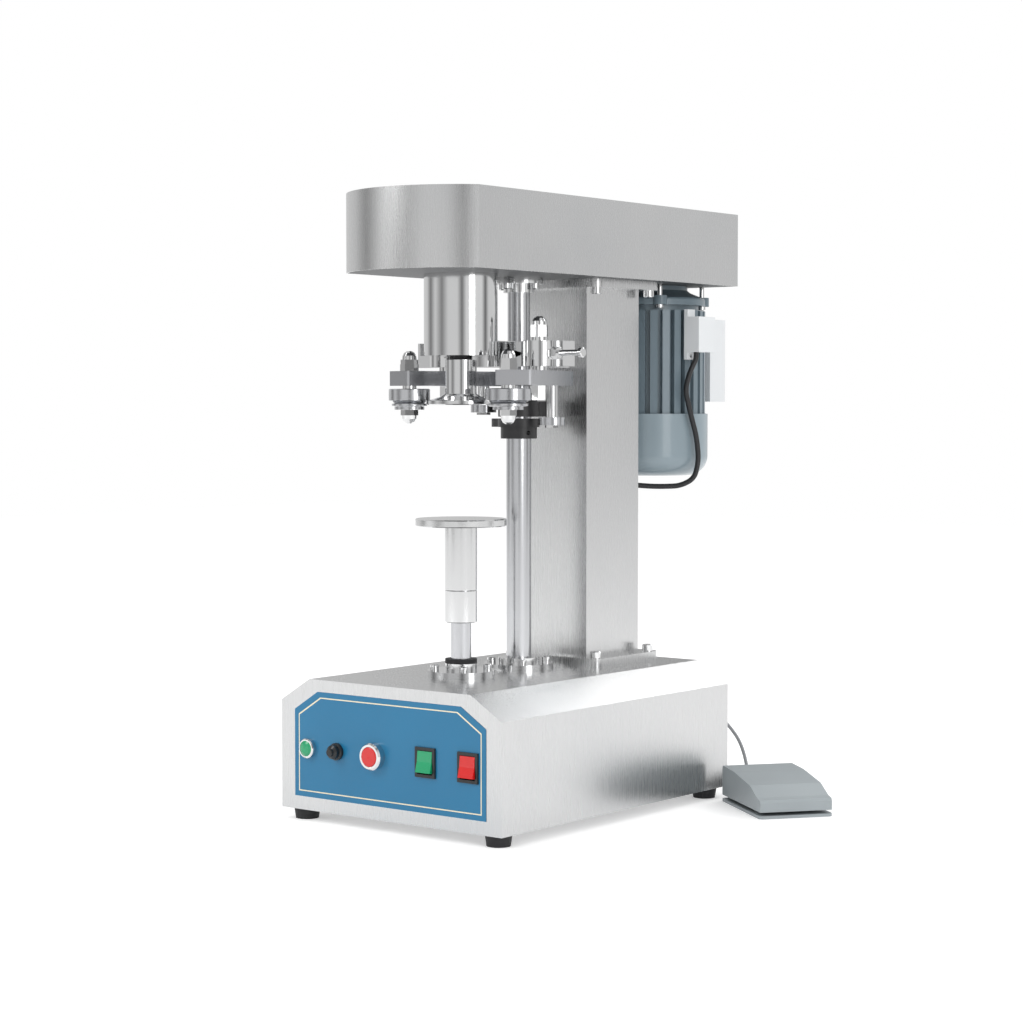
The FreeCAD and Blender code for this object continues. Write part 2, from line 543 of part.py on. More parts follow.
FRAME_LENGTH = "(frame_top - frame_bottom)"
SHAFT_BORE = "motor_shaft_radius + running_gap"
FLANGE_RADIUS = "cowl_radius - cowl_sheet - panel_gap"
body = revolve("motor_frame", [
    (SHAFT_BORE, "-frame_flange"), (FLANGE_RADIUS, "-frame_flange"), (FLANGE_RADIUS, "0"),
    ("motor_core_radius", "0"), ("motor_core_radius", FRAME_LENGTH), ("stator_radius", FRAME_LENGTH), ("stator_radius", "bearing_web"), (SHAFT_BORE, "bearing_web")])
sketch = new_sketch(body)
add_outline(sketch, rectangle("motor_core_radius - 2", "-fin_width / 2", "fin_radius", "fin_width / 2"))
feature = pad(body, sketch, f"{FRAME_LENGTH} - fin_stop")
ring_of(body, feature, "fin_count")
part(place(body, y="motor_y", z="frame_bottom"), "motor_frame")

SHIELD = "(head_bottom - frame_top)"
body = revolve("motor_end_shield", [
    (SHAFT_BORE, f"{SHIELD} - 10"), (SHAFT_BORE, SHIELD), ("shield_neck_radius", SHIELD),
    ("shield_neck_radius", f"{SHIELD} - 5"), ("shield_neck_radius + 4", f"{SHIELD} - 8"),
    ("fin_radius - 1", "shield_shoulder - 4"), ("fin_radius", "shield_shoulder - 6"), ("fin_radius", "0"),
    ("motor_core_radius - shield_wall", "0"), ("motor_core_radius - shield_wall", "shield_rim"),
    ("shield_neck_radius - 6", f"{SHIELD} - 10")])
sketch = new_sketch(body)
for a, b in MOTOR_BOLTS:
    add_circle(sketch, a, b, "ear_radius")
pad(body, sketch, "shield_shoulder - 2")
drill(body, [(a, b, "motor_bolt_radius + bolt_gap") for a, b in MOTOR_BOLTS])
part(place(body, y="motor_y", z="frame_top"), "motor_end_shield")


def cowl_shape():
    """Drawn cup under the motor: straight wall, rounded rim and an air inlet in its floor."""
    radius, sheet_t, curve = number("cowl_radius"), number("cowl_sheet"), number("cowl_round")
    top = number("frame_bottom - cowl_bottom - cowl_overlap")
    inlet = number("inlet_radius")

    def wall(r, z, bend):
        diagonal = bend * (1 - math.sqrt(0.5))
        return [Part.LineSegment(FreeCAD.Vector(r, 0, top), FreeCAD.Vector(r, 0, z + bend)).toShape(),
                Part.Arc(FreeCAD.Vector(r, 0, z + bend), FreeCAD.Vector(r - diagonal, 0, z + diagonal),
                         FreeCAD.Vector(r - bend, 0, z)).toShape(),
                Part.LineSegment(FreeCAD.Vector(r - bend, 0, z), FreeCAD.Vector(inlet, 0, z)).toShape()]

    outside = wall(radius, 0, curve)
    inside = wall(radius - sheet_t, sheet_t, curve - sheet_t)
    ends = [Part.LineSegment(FreeCAD.Vector(radius, 0, top), FreeCAD.Vector(radius - sheet_t, 0, top)).toShape(),
            Part.LineSegment(FreeCAD.Vector(inlet, 0, 0), FreeCAD.Vector(inlet, 0, sheet_t)).toShape()]
    profile = Part.Face(Part.Wire(Part.__sortEdges__(outside + inside + ends)))
    cup = profile.revolve(FreeCAD.Vector(), Z_AXIS, 360)
    spoke = Part.makeBox(2 * inlet + 1, 3, sheet_t, FreeCAD.Vector(-inlet - 0.5, -1.5, 0))
    pieces = [spoke, spoke.rotated(FreeCAD.Vector(), Z_AXIS, 90)]
    for ratio in (0.28, 0.62):
        hoop = Part.makeCylinder(inlet * ratio + 1.2, sheet_t).cut(Part.makeCylinder(inlet * ratio - 1.2, sheet_t))
        pieces.append(hoop)
    return cup.multiFuse(pieces).removeSplitter()


part(solid("fan_cowl", cowl_shape(), y="motor_y", z="cowl_bottom"), "fan_cowl")

FAN_Z = "(frame_bottom - fan_height - 14)"
ROTOR_TOP = f"pulley_top + 6 - {FAN_Z}"
CORE_LOW = f"(frame_bottom + bearing_web + 12 - {FAN_Z})"
CORE_HIGH = f"(frame_top - 12 - {FAN_Z})"
body = revolve("motor_rotor", [
    ("0", "0"), ("fan_radius * 0.45", "0"), ("fan_radius * 0.45", "3"), ("fan_radius", "fan_height - 3"),
    ("fan_radius", "fan_height"), ("motor_shaft_radius", "fan_height"), ("motor_shaft_radius", CORE_LOW),
    ("stator_radius - rotor_gap", CORE_LOW), ("stator_radius - rotor_gap", CORE_HIGH),
    ("motor_shaft_radius", CORE_HIGH), ("motor_shaft_radius", ROTOR_TOP), ("0", ROTOR_TOP)])
sketch = new_sketch(body)
add_outline(sketch, rectangle("fan_radius * 0.4", "-1", "fan_radius", "1"))
feature = pad(body, sketch, "fan_height - 1")
ring_of(body, feature, "fan_blades")
part(place(body, y="motor_y", z=FAN_Z), "motor_rotor")

CAP_HEIGHT = "capacitor_top - capacitor_bottom"
body = prism("capacitor_box", rectangle("-capacitor_width / 2", "0", "capacitor_width / 2", "capacitor_depth"),
             CAP_HEIGHT)
feature = body.Tip
names = upright_edges(feature, 0, 1)
feature = round_edges(body, feature, names, "box_round")
part(place(body, "capacitor_x", "motor_y + fin_radius + box_seat", "capacitor_bottom"), "capacitor_box")

TERMINAL_HEIGHT = "(terminal_top - terminal_bottom)"
body = prism("terminal_block", rectangle("0", "-terminal_width / 2", "terminal_depth", "terminal_width / 2"),
             TERMINAL_HEIGHT)
sketch = new_sketch(body, "YZ_Plane")
add_outline(sketch, rectangle("-terminal_width / 2", "-terminal_ear", "-terminal_width / 2 + terminal_ear_width",
                              f"{TERMINAL_HEIGHT} + terminal_ear"))
pad(body, sketch, "terminal_ear_thickness")
drill_at = "-terminal_width / 2 + terminal_ear_width / 2"
sketch = new_sketch(body, "YZ_Plane")
add_circle(sketch, drill_at, "-terminal_ear / 2", "2.2")
pocket(body, sketch)
part(place(body, "fin_radius + box_seat", "motor_y + terminal_y", "terminal_bottom"), "terminal_block")

# ---- head bracket, pivots and adjusting screw -----------------------------------------------------

BRACKET_HEIGHT = "(bracket_top - bracket_bottom)"
COLUMN_FACE = "(column_y - column_depth / 2)"
body = prism("head_bracket", [
    ("-pivot_x", "bracket_front"), ("-bracket_arm", "bracket_front - 6"), ("-bracket_arm", "spindle_y"),
    ("bracket_arm", "spindle_y"), ("bracket_arm", "bracket_front - 6"), ("pivot_x", "bracket_front"),
    ("bracket_half_width", "bracket_front"), ("bracket_half_width", "bracket_back"),
    ("pivot_x", "bracket_back"), ("bracket_arm", "bracket_back + 14"), ("bracket_arm", COLUMN_FACE),
    ("-bracket_arm", COLUMN_FACE), ("-bracket_arm", "bracket_back + 14"), ("-pivot_x", "bracket_back")],
    BRACKET_HEIGHT)
for side in ("-pivot_x", "pivot_x"):
    sketch = new_sketch(body)
    add_circle(sketch, side, "pivot_y", "boss_radius")
    pad(body, sketch, BRACKET_HEIGHT)
ARM_BACK = "bracket_front + spring_arm_depth"
for end, height in (("-pivot_x", "spring_arm_height"), ("-spring_arm_end + spring_arm_tab", BRACKET_HEIGHT)):
    sketch = new_sketch(body)
    add_outline(sketch, rectangle("-spring_arm_end", "bracket_front", end, ARM_BACK))
    pad(body, sketch, height)
sketch = new_sketch(body)
add_circle(sketch, "0", "spindle_y", "housing_radius + bracket_clearance")
pocket(body, sketch)
drill(body, [("0", "camshaft_y", "upper_shaft_radius + running_gap"),
             ("-pivot_x", "pivot_y", "pivot_radius + seat_gap"), ("pivot_x", "pivot_y", "pivot_radius + seat_gap")])
sketch = new_sketch(body, "YZ_Plane")
add_circle(sketch, "pivot_y", "adjuster_z - bracket_bottom", "adjuster_radius + seat_gap")
feature = body.newObject("PartDesign::Pocket", "adjuster_hole")
feature.Profile = sketch
feature.Reversed = True
tie(feature, Length="pivot_x + boss_radius + 1")
doc.recompute()
part(place(body, z="bracket_bottom"), "head_bracket")


def hexagon(radius, x="0", y="0"):
    return [(f"{x} + ({radius}) * cos({angle})", f"{y} + ({radius}) * sin({angle})") for angle in range(0, 360, 60)]


def stud(name, radius, bottom, top, nuts, domes):
    """A round pin with hexagon nuts (height, thickness, radius) and domed nuts on it."""
    body = revolve(name, [("0", bottom), (radius, bottom), (radius, top), ("0", top)])
    for height, thickness, nut_radius in nuts:
        sketch = new_sketch(body, "XY_Plane", height)
        add_outline(sketch, hexagon(nut_radius))
        pad(body, sketch, thickness)
    for section in domes:
        sketch = new_sketch(body, "XZ_Plane")
        add_outline(sketch, section)
        feature = body.newObject("PartDesign::Revolution", "dome")
        feature.Profile = sketch
        feature.ReferenceAxis = (sketch, ["V_Axis"])
        feature.Angle = 360
        doc.recompute()
    return body


def dome(radius, base, tip):
    """Half section of a domed nut from its hexagon to its crown, either way up."""
    rise = f"(({tip}) - ({base}))"
    return [("0", base), (radius, base), (f"0.94 * ({radius})", f"{base} + {rise} * 0.45"),
            (f"0.72 * ({radius})", f"{base} + {rise} * 0.8"), (f"0.36 * ({radius})", tip), ("0", tip)]


PIVOT_NUT_TOP = "(lever_bottom - seat_gap * 4)"
PIVOT_FOOT = f"({PIVOT_NUT_TOP} - 2 * pivot_nut)"
TOP_NUT = "(bracket_top + washer)"
ACORN = "(bracket_top + washer + pivot_nut)"
pivots = []
for side in ("-pivot_x", "pivot_x"):
    pivot = stud("lever_pivot", "pivot_radius", PIVOT_FOOT, ACORN,
                 [(PIVOT_FOOT, "2 * pivot_nut", "pivot_nut_radius * 0.82"),
                  (TOP_NUT, "pivot_nut", "pivot_nut_radius"), (ACORN, "acorn_height * 0.35", "pivot_nut_radius")],
                 [tube_section("0", "washer_radius", "bracket_top + seat_gap", TOP_NUT),
                  tube_section("0", "washer_radius", "lever_top + seat_gap * 4", "bracket_bottom - seat_gap"),
                  dome("pivot_nut_radius * 0.84", f"{ACORN} + acorn_height * 0.35", f"{ACORN} + acorn_height")])
    pivots.append(place(pivot, side, "pivot_y"))
group("lever_pivots", pivots)

body = revolve("adjusting_screw", [
    ("0", "-adjuster_depth"), ("adjuster_radius", "-adjuster_depth"), ("adjuster_radius", "adjuster_length - 5"),
    ("adjuster_radius + 2", "adjuster_length - 5"), ("adjuster_radius + 2", "adjuster_length - 1"),
    ("adjuster_radius + 1", "adjuster_length"), ("0", "adjuster_length")])
sketch = new_sketch(body, "XY_Plane", "0.1")
add_outline(sketch, hexagon("adjuster_radius * 2"))
pad(body, sketch, "adjuster_nut")
part(place(body, "pivot_x + boss_radius", "pivot_y", "adjuster_z", FACING_RIGHT), "adjusting_screw")

# ---- seaming levers -------------------------------------------------------------------------------


def mirrored(point, side):
    """The same point for the right-hand lever, where side is 1, or for its mirror image."""
    return (point[0] if side > 0 else f"-({point[0]})", point[1])


ROLLER_PIN = ("-pin_inward", "-pin_forward")
FOLLOWER_PIN = ("-follower_inward", "follower_back")


def lever(prefix, side):
    corners = rectangle("-lever_inner", "-lever_front", "lever_outer", "lever_rear")
    if side < 0:
        corners = rectangle("-lever_outer", "-lever_front", "lever_inner", "lever_rear")
    body = prism(f"{prefix}_lever", corners, "lever_top - lever_bottom")
    bar = body.Tip
    chamfer = body.newObject("PartDesign::Chamfer", "corner_chamfer")
    chamfer.Base = (bar, upright_edges(bar))
    tie(chamfer, Size="lever_chamfer")
    doc.recompute()
    pins = [mirrored(point, side) for point in (ROLLER_PIN, FOLLOWER_PIN)]
    drill(body, [("0", "0", "pivot_radius + running_gap")] + [(*pin, "pin_radius + seat_gap") for pin in pins])
    turn = (Z_AXIS, "lever_angle" if side > 0 else "-lever_angle")
    place(body, "pivot_x" if side > 0 else "-pivot_x", "pivot_y", "lever_bottom", turn)
    part(body, f"{prefix}_lever")
    return turn


def turned(point, side):
    """A point of the lever's own frame as expressions in the machine's frame."""
    a, b = point
    angle = "lever_angle" if side > 0 else "(-lever_angle)"
    pivot = "pivot_x" if side > 0 else "-pivot_x"
    x = f"{pivot} + ({a}) * cos({angle}) - ({b}) * sin({angle})"
    y = f"pivot_y + ({a}) * sin({angle}) + ({b}) * cos({angle})"
    return x, y


def seaming_roller(name, radius):
    """Seaming roller, from its underside up: nut face, thin flange, seam groove and plain land."""
    land = "(roller_hub + roller_flange + roller_groove)"
    top = f"({land} + roller_land)"
    bore = "pin_radius + running_gap"
    return revolve(name, [
        (bore, "0"), ("roller_hub_radius", "0"), ("roller_hub_radius", "roller_hub - 0.8"),
        (f"{radius} - 5", "roller_hub - 0.8"), (f"{radius} - 3.4", "roller_hub"),
        (f"{radius} - 3.4", "roller_hub + roller_flange"),
        (f"{radius} - 3.4 - roller_groove_depth", "roller_hub + roller_flange + 0.8"),
        (f"{radius} - 2.6", land), (radius, f"{land} + 0.8"), (radius, f"{top} - 0.8"),
        (f"{radius} - 0.8", top), (bore, top)])


ROLLER_HEIGHT = "(roller_hub + roller_flange + roller_groove + roller_land)"
for prefix, side in (("first", 1), ("second", -1)):
    turn = lever(prefix, side)
    roller_radius = f"{prefix}_roller_radius"
    follower_top = f"{prefix}_follower_top"
    x, y = turned(mirrored(ROLLER_PIN, side), side)
    roller_foot = f"(roller_top - {ROLLER_HEIGHT})"
    nut_top = f"({roller_foot} - seat_gap * 4)"
    body = stud(f"{prefix}_roller_pin", "pin_radius", f"{nut_top} - 2", "lever_top + pin_nut",
                [(f"{nut_top} - lower_acorn * 0.4", "lower_acorn * 0.4", "pin_nut_radius * 0.95"),
                 ("lever_top + seat_gap", "pin_nut", "pin_nut_radius"),
                 ("lever_top + pin_nut", "acorn_height * 0.35", "pin_nut_radius * 0.95")],
                [dome("pin_nut_radius * 0.8", f"{nut_top} - lower_acorn * 0.4", f"{nut_top} - lower_acorn"),
                 dome("pin_nut_radius * 0.8", "lever_top + pin_nut + acorn_height * 0.35",
                      "lever_top + pin_nut + acorn_height"),
                 tube_section("0", "pin_radius + 2", "roller_top + seat_gap * 4", "lever_bottom - seat_gap")])
    roller_pin = place(body, x, y, 0, turn)
    fx, fy = turned(mirrored(FOLLOWER_PIN, side), side)
    foot = f"({follower_top} - follower_height)"
    body = stud(f"{prefix}_follower_pin", "pin_radius", f"{foot} - follower_nut", "lever_top - 1",
                [(f"{foot} - follower_nut - seat_gap * 4", "follower_nut", "follower_nut_radius")],
                [tube_section("0", "pin_radius + 1", f"{follower_top} + seat_gap * 4", "lever_bottom - seat_gap")])
    follower_pin = place(body, fx, fy, 0, turn)
    group(f"{prefix}_lever_pins", [roller_pin, follower_pin])
    part(place(seaming_roller(f"{prefix}_roller", roller_radius), x, y, roller_foot), f"{prefix}_roller")
    body = revolve(f"{prefix}_follower", tube_section("pin_radius + running_gap", "follower_radius", "0",
                                                      "follower_height"))
    part(place(body, fx, fy, foot), f"{prefix}_follower")

# ---- camshaft -------------------------------------------------------------------------------------

part(place(revolve("camshaft", [
    ("0", "camshaft_bottom"), ("cam_shaft_radius", "camshaft_bottom"), ("cam_shaft_radius", "upper_shaft_bottom"),
    ("upper_shaft_radius", "upper_shaft_bottom"), ("upper_shaft_radius", "camshaft_top"),
    ("0", "camshaft_top")]), y="camshaft_y"), "camshaft")


def eased(fraction):
    return (1 - math.cos(math.pi * max(0.0, min(1.0, fraction)))) / 2


def lobe_radius(angle, peak):
    """A round cam with one lobe: eased ramps on both sides of a short dwell."""
    away = abs((angle - peak + 180.0) % 360.0 - 180.0)
    rise = 1 - (away - number("cam_dwell")) / number("cam_ramp")
    low = number("cam_base_radius")
    return low + (number("cam_lift") - low) * eased(rise)


def plate_cam(radius_at, steps, thickness):
    """A disc whose edge is one closed curve through radii worked out at even steps of angle."""
    angles = [360.0 * index / steps for index in range(steps)]
    points = [FreeCAD.Vector(radius_at(a) * math.cos(math.radians(a)), radius_at(a) * math.sin(math.radians(a)), 0)
              for a in angles]
    edge = Part.BSplineCurve()
    edge.interpolate(Points=points, PeriodicFlag=True)
    return Part.Face(Part.Wire(edge.toShape())).extrude(Z_AXIS * thickness)


cams = []
for prefix, below in (("first", True), ("second", False)):
    peak = number(f"{prefix}_cam_angle")
    thick = number(f"{prefix}_cam_top - {prefix}_cam_bottom")
    hub = number(f"{prefix}_hub")
    disc = plate_cam(lambda angle: lobe_radius(angle, peak), 45, thick)
    foot = -hub if below else 0.0
    boss = Part.makeCylinder(number("cam_hub_radius"), thick + hub, FreeCAD.Vector(0, 0, foot))
    bore = Part.makeCylinder(number("cam_shaft_radius + seat_gap"), thick + hub, FreeCAD.Vector(0, 0, foot))
    screw_foot = FreeCAD.Vector(0, 0, -hub / 2 if below else thick + hub / 2)
    screw = Part.makeCylinder(number("set_screw_radius"), 2 * number("cam_hub_radius"), screw_foot, X_AXIS)
    screw.rotate(FreeCAD.Vector(), Z_AXIS, number("set_screw_angle"))
    cam = disc.fuse(boss).cut(bore).cut(screw).removeSplitter()
    cams.append(solid(f"{prefix}_cam", cam, y="camshaft_y", z=f"{prefix}_cam_bottom"))
group("seaming_cams", cams)

base_bearing = revolve("base_bearing", [
    ("cam_shaft_radius + running_gap", "-spigot_depth"), ("bearing_spigot", "-spigot_depth"),
    ("bearing_spigot", "0"), ("base_bearing_radius", "0"), ("base_bearing_radius", "base_bearing_flange"),
    ("base_bearing_hub", "base_bearing_flange"), ("base_bearing_hub", "base_bearing_height"),
    ("cam_shaft_radius + running_gap", "base_bearing_height")])
top_bearing = revolve("top_bearing", [
    ("upper_shaft_radius + running_gap", "0"), ("top_bearing_radius", "0"),
    ("top_bearing_radius", "-top_bearing_flange"), ("top_bearing_hub", "-top_bearing_flange"),
    ("top_bearing_hub", "-top_bearing_height"), ("upper_shaft_radius + running_gap", "-top_bearing_height")])
for bearing, circle in ((base_bearing, BASE_BOLTS), (top_bearing, TOP_BOLTS)):
    drill(bearing, [(a, b, "small_bolt_radius + bolt_gap") for a, b in circle])
place(base_bearing, y="camshaft_y", z=BASE_TOP)
place(top_bearing, y="camshaft_y", z="head_bottom")
group("camshaft_bearings", [base_bearing, top_bearing])

# ---- can lift -------------------------------------------------------------------------------------

body = revolve("lift_guide", [
    ("lift_shaft_radius + running_gap", "-spigot_depth"), ("guide_spigot", "-spigot_depth"), ("guide_spigot", "0"),
    ("guide_radius", "0"), ("guide_radius", "guide_flange"), ("guide_hub", "guide_flange"),
    ("guide_hub", "guide_height"), ("lift_shaft_radius + running_gap", "guide_height")])
drill(body, [(a, b, "small_bolt_radius + bolt_gap") for a, b in GUIDE_BOLTS])
part(place(body, y="spindle_y", z=BASE_TOP), "lift_guide")

seals = [place(revolve("lift_seal", tube_section("lift_shaft_radius + running_gap", "lift_seal_radius", "0",
                                                 "lift_seal_height")),
               y="spindle_y", z="base_height + guide_height"),
         place(revolve("spindle_seal", tube_section("spindle_radius + running_gap", "seal_radius", "0",
                                                    "seal_height")),
               y="spindle_y", z="chuck_top + seal_gap")]
group("shaft_seals", seals)

CRANK_REST = "(crank_pivot_z - crank_arm * sin(crank_angle))"
LIFT_FOOT = f"({CRANK_REST} + crank_ball + crank_gap)"
part(place(revolve("lift_shaft", [
    ("0", LIFT_FOOT), ("lift_foot_radius", LIFT_FOOT), ("lift_foot_radius", f"{LIFT_FOOT} + lift_foot"),
    ("lift_shaft_radius", f"{LIFT_FOOT} + lift_foot"), ("lift_shaft_radius", "lift_shaft_top"),
    ("0", "lift_shaft_top")]), y="spindle_y"), "lift_shaft")

SLIDE_BORE = "lift_shaft_radius + running_gap"
part(place(revolve("lock_collar", [
    (SLIDE_BORE, "0"), ("tube_radius - 0.8", "0"), ("tube_radius", "0.8"),
    ("tube_radius", "collar_top - collar_bottom - 0.4"), ("tube_radius - 0.4", "collar_top - collar_bottom"),
    (SLIDE_BORE, "collar_top - collar_bottom")]), y="spindle_y", z="collar_bottom"), "lock_collar")

TUBE_FOOT = "(collar_top + ring_line)"
TUBE = f"(plate_bottom - {TUBE_FOOT} - ring_line)"
part(place(revolve("height_tube", [
    (SLIDE_BORE, "0"), ("tube_radius - 0.4", "0"), ("tube_radius", "0.4"), ("tube_radius", TUBE),
    ("plate_spigot_radius + running_gap", TUBE), ("plate_spigot_radius + running_gap", f"{TUBE} - tube_cap"),
    (SLIDE_BORE, f"{TUBE} - tube_cap")]), y="spindle_y", z=TUBE_FOOT), "height_tube")

part(place(revolve("lift_plate", [
    ("0", "-plate_spigot"), ("plate_spigot_radius", "-plate_spigot"), ("plate_spigot_radius", "0"),
    ("plate_radius - 1", "0"), ("plate_radius", "1"), ("plate_radius", "plate_top - plate_bottom - 1"),
    ("plate_radius - 1", "plate_top - plate_bottom"), ("0", "plate_top - plate_bottom")]),
    y="spindle_y", z="plate_bottom"), "lift_plate")

# ---- lift drive inside the base -------------------------------------------------------------------


def crank_shape():
    """Bell crank about its own pivot: one arm under the lift shaft, one leg beside the lift cam."""
    arm, leg, ball = number("crank_arm"), number("crank_leg"), number("crank_ball")
    width, bar = number("crank_width"), number("crank_bar")
    hub = Part.makeCylinder(number("crank_hub"), width, FreeCAD.Vector(-width / 2, 0, 0), X_AXIS)
    level = Part.makeBox(width, arm, bar, FreeCAD.Vector(-width / 2, -arm, -bar / 2))
    upright = Part.makeBox(width, bar, leg, FreeCAD.Vector(-width / 2, -bar / 2, -leg))
    balls = [Part.makeSphere(ball, FreeCAD.Vector(0, -arm, 0)), Part.makeSphere(ball, FreeCAD.Vector(0, 0, -leg))]
    return hub.multiFuse([level, upright] + balls).cut(
        Part.makeCylinder(number("pin_radius + running_gap"), 2 * width, FreeCAD.Vector(-width, 0, 0), X_AXIS))


part(solid("lift_crank", crank_shape(), y="crank_pivot_y", z="crank_pivot_z", turn=(X_AXIS, "crank_angle")),
     "lift_crank")


def lift_radius(angle):
    """Even rise over the first part of the turn, a dwell and an eased return. Zero faces the crank."""
    rise = number("lift_cam_turn")
    low, high = number("lift_cam_low"), number("lift_cam_high")
    angle = (angle + 90.0) % 360.0
    if angle <= rise:
        return low + (high - low) * angle / rise
    leave = rise + number("lift_cam_dwell")
    if angle <= leave:
        return high
    return high - (high - low) * eased((angle - leave) / number("lift_cam_return"))


CAM_MIDDLE = "(crank_pivot_z - crank_leg)"
disc = plate_cam(lift_radius, 48, number("lift_cam_thickness"))
disc = disc.cut(Part.makeCylinder(number("cam_shaft_radius + seat_gap"), number("lift_cam_thickness")))
part(solid("lift_cam", disc, y="camshaft_y", z=f"{CAM_MIDDLE} - lift_cam_thickness / 2"), "lift_cam")

TRAY_TOP = "(foot_height + sheet)"
body = prism("gearbox", rectangle("-gearbox_width / 2", "-gearbox_length / 2", "gearbox_width / 2",
                                  "gearbox_length / 2"), f"gearbox_top - {TRAY_TOP}")
drill(body, [("0", "0", "cam_shaft_radius + running_gap")])
sketch = new_sketch(body, "XZ_Plane")
add_circle(sketch, "gearbox_width / 4 + 2", f"(gearbox_top - {TRAY_TOP}) / 2", "lift_motor_radius")
pad(body, sketch, "gearbox_length / 2 + lift_motor_length", reverse=True)
sketch = new_sketch(body)
add_circle(sketch, "0", "0", "cam_shaft_radius + running_gap")
pocket(body, sketch, "gearbox_top - foot_height", reverse=True)
gearbox = place(body, y="camshaft_y", z=TRAY_TOP)
CHEEK_X = "(crank_width / 2 + cheek_gap)"
BED_UNDER = "(base_height - sheet - bed_thickness)"
cheeks = []
for near_x in (CHEEK_X, f"-{CHEEK_X} - cheek_thickness"):
    box = rectangle("-cheek_half_width", "-cheek_half_width", "cheek_half_width", f"{BED_UNDER} - crank_pivot_z")
    cheek = prism("crank_cheek", box, "cheek_thickness", "YZ_Plane")
    cheeks.append(place(cheek, near_x, "crank_pivot_y", "crank_pivot_z"))
pin = revolve("crank_pin", tube_section("0", "pin_radius", "0", f"2 * ({CHEEK_X} - seat_gap)"))
place(pin, f"seat_gap - {CHEEK_X}", "crank_pivot_y", "crank_pivot_z", FACING_RIGHT)
group("lift_gearmotor", [gearbox] + cheeks + [pin])

# ---- fasteners ------------------------------------------------------------------------------------


def cap_screw(x, y, z, size, reach, upward):
    """One cylinder-head screw standing at a seat. upward is True when its head points up."""
    radius, head_radius, head = size
    crown, lip, tip = head, f"{head} - 0.8", f"-({reach})"
    if not upward:
        crown, lip, tip = f"-{head}", f"0.8 - {head}", reach
    body = revolve("screw", [
        ("0", tip), (radius, tip), (radius, "0"), (head_radius, "0"), (head_radius, lip),
        (f"{head_radius} - 0.8", crown), ("0", crown)])
    return place(body, x, y, z)


COLUMN_SCREW = ("bolt_radius", "bolt_head_radius", "bolt_head")
SMALL_SCREW = ("small_bolt_radius", "small_head_radius", "small_head")
MOTOR_SCREW = ("motor_bolt_radius", "motor_bolt_head", "motor_bolt_head")
screws = []
for z, upward in (("base_height + flange_thickness", True), ("head_bottom - flange_thickness", False)):
    for a, b in COLUMN_BOLTS:
        screws.append(cap_screw(a, f"column_y + ({b})", z, COLUMN_SCREW, "bolt_reach", upward))
for circle, middle_y, z, upward in (
        (GUIDE_BOLTS, "spindle_y", "base_height + guide_flange", True),
        (BASE_BOLTS, "camshaft_y", "base_height + base_bearing_flange", True),
        (TOP_BOLTS, "camshaft_y", "head_bottom - top_bearing_flange", False)):
    for a, b in circle:
        screws.append(cap_screw(a, f"{middle_y} + {b}", z, SMALL_SCREW, "small_reach", upward))
MOTOR_REACH = f"{SHIELD} + plate_thickness * 2 / 3"
for a, b in MOTOR_BOLTS:
    screws.append(cap_screw(a, f"motor_y + {b}", "frame_top", MOTOR_SCREW, MOTOR_REACH, False))
group("cap_screws", screws)

# ---- control panel --------------------------------------------------------------------------------

PANEL = "-base_length / 2"


def control(name, x, corners):
    return place(revolve(name, corners), x, PANEL, "control_z", FACING_FRONT)


lamp = control("lamp_bezel", LAMP_X, [
    ("0", "-lamp_depth"), ("lamp_body_radius", "-lamp_depth"), ("lamp_body_radius", "0.05"),
    ("lamp_radius", "0.05"), ("lamp_radius", "lamp_bezel - 1"), ("lamp_radius - 1", "lamp_bezel"),
    ("lamp_lens_radius + seat_gap", "lamp_bezel"), ("lamp_lens_radius + seat_gap", "2"), ("0", "2")])
button = control("button_bezel", "button_x", [
    ("0", "-button_depth"), ("button_body_radius", "-button_depth"), ("button_body_radius", "0.05"),
    ("button_radius", "0.05"), ("button_radius", "button_bezel - 2"), ("button_radius - 1.6", "button_bezel"),
    ("button_cap_radius + button_gap", "button_bezel"), ("button_cap_radius + button_gap", "2"), ("0", "2")])
group("control_bezels", [lamp, button])
part(control("lamp_lens", LAMP_X, [
    ("0", "2.05"), ("lamp_lens_radius", "2.05"), ("lamp_lens_radius", "lamp_bezel - 0.4"),
    ("lamp_lens_radius * 0.7", "lamp_bezel + 1.2"), ("0", "lamp_bezel + 1.8")]), "lamp_lens")
part(control("start_button", "button_x", [
    ("0", "button_travel + 2.5"), ("button_cap_radius", "button_travel + 2.5"),
    ("button_cap_radius", "button_bezel + 0.2"), ("button_cap_radius - 1", "button_bezel + 1"),
    ("0", "button_bezel + 1.2")]), "start_button")
part(control("fuse_holder", FUSE_X, [
    ("0", "-fuse_depth"), ("fuse_body_radius", "-fuse_depth"), ("fuse_body_radius", "0.05"),
    ("fuse_radius", "0.05"), ("fuse_radius", "fuse_collar - 1.5"), ("fuse_radius - 1.5", "fuse_collar"),
    ("0", "fuse_collar")]), "fuse_holder")
part(control("fuse_cap", FUSE_X, [
    ("0", "fuse_collar + 0.3"), ("fuse_cap_radius", "fuse_collar + 0.3"),
    ("fuse_cap_radius", "fuse_collar + 4"), ("fuse_tip_radius", "fuse_collar + 6"),
    ("fuse_tip_radius", "fuse_cap - 1"), ("fuse_tip_radius - 1", "fuse_cap"), ("0", "fuse_cap")]), "fuse_cap")

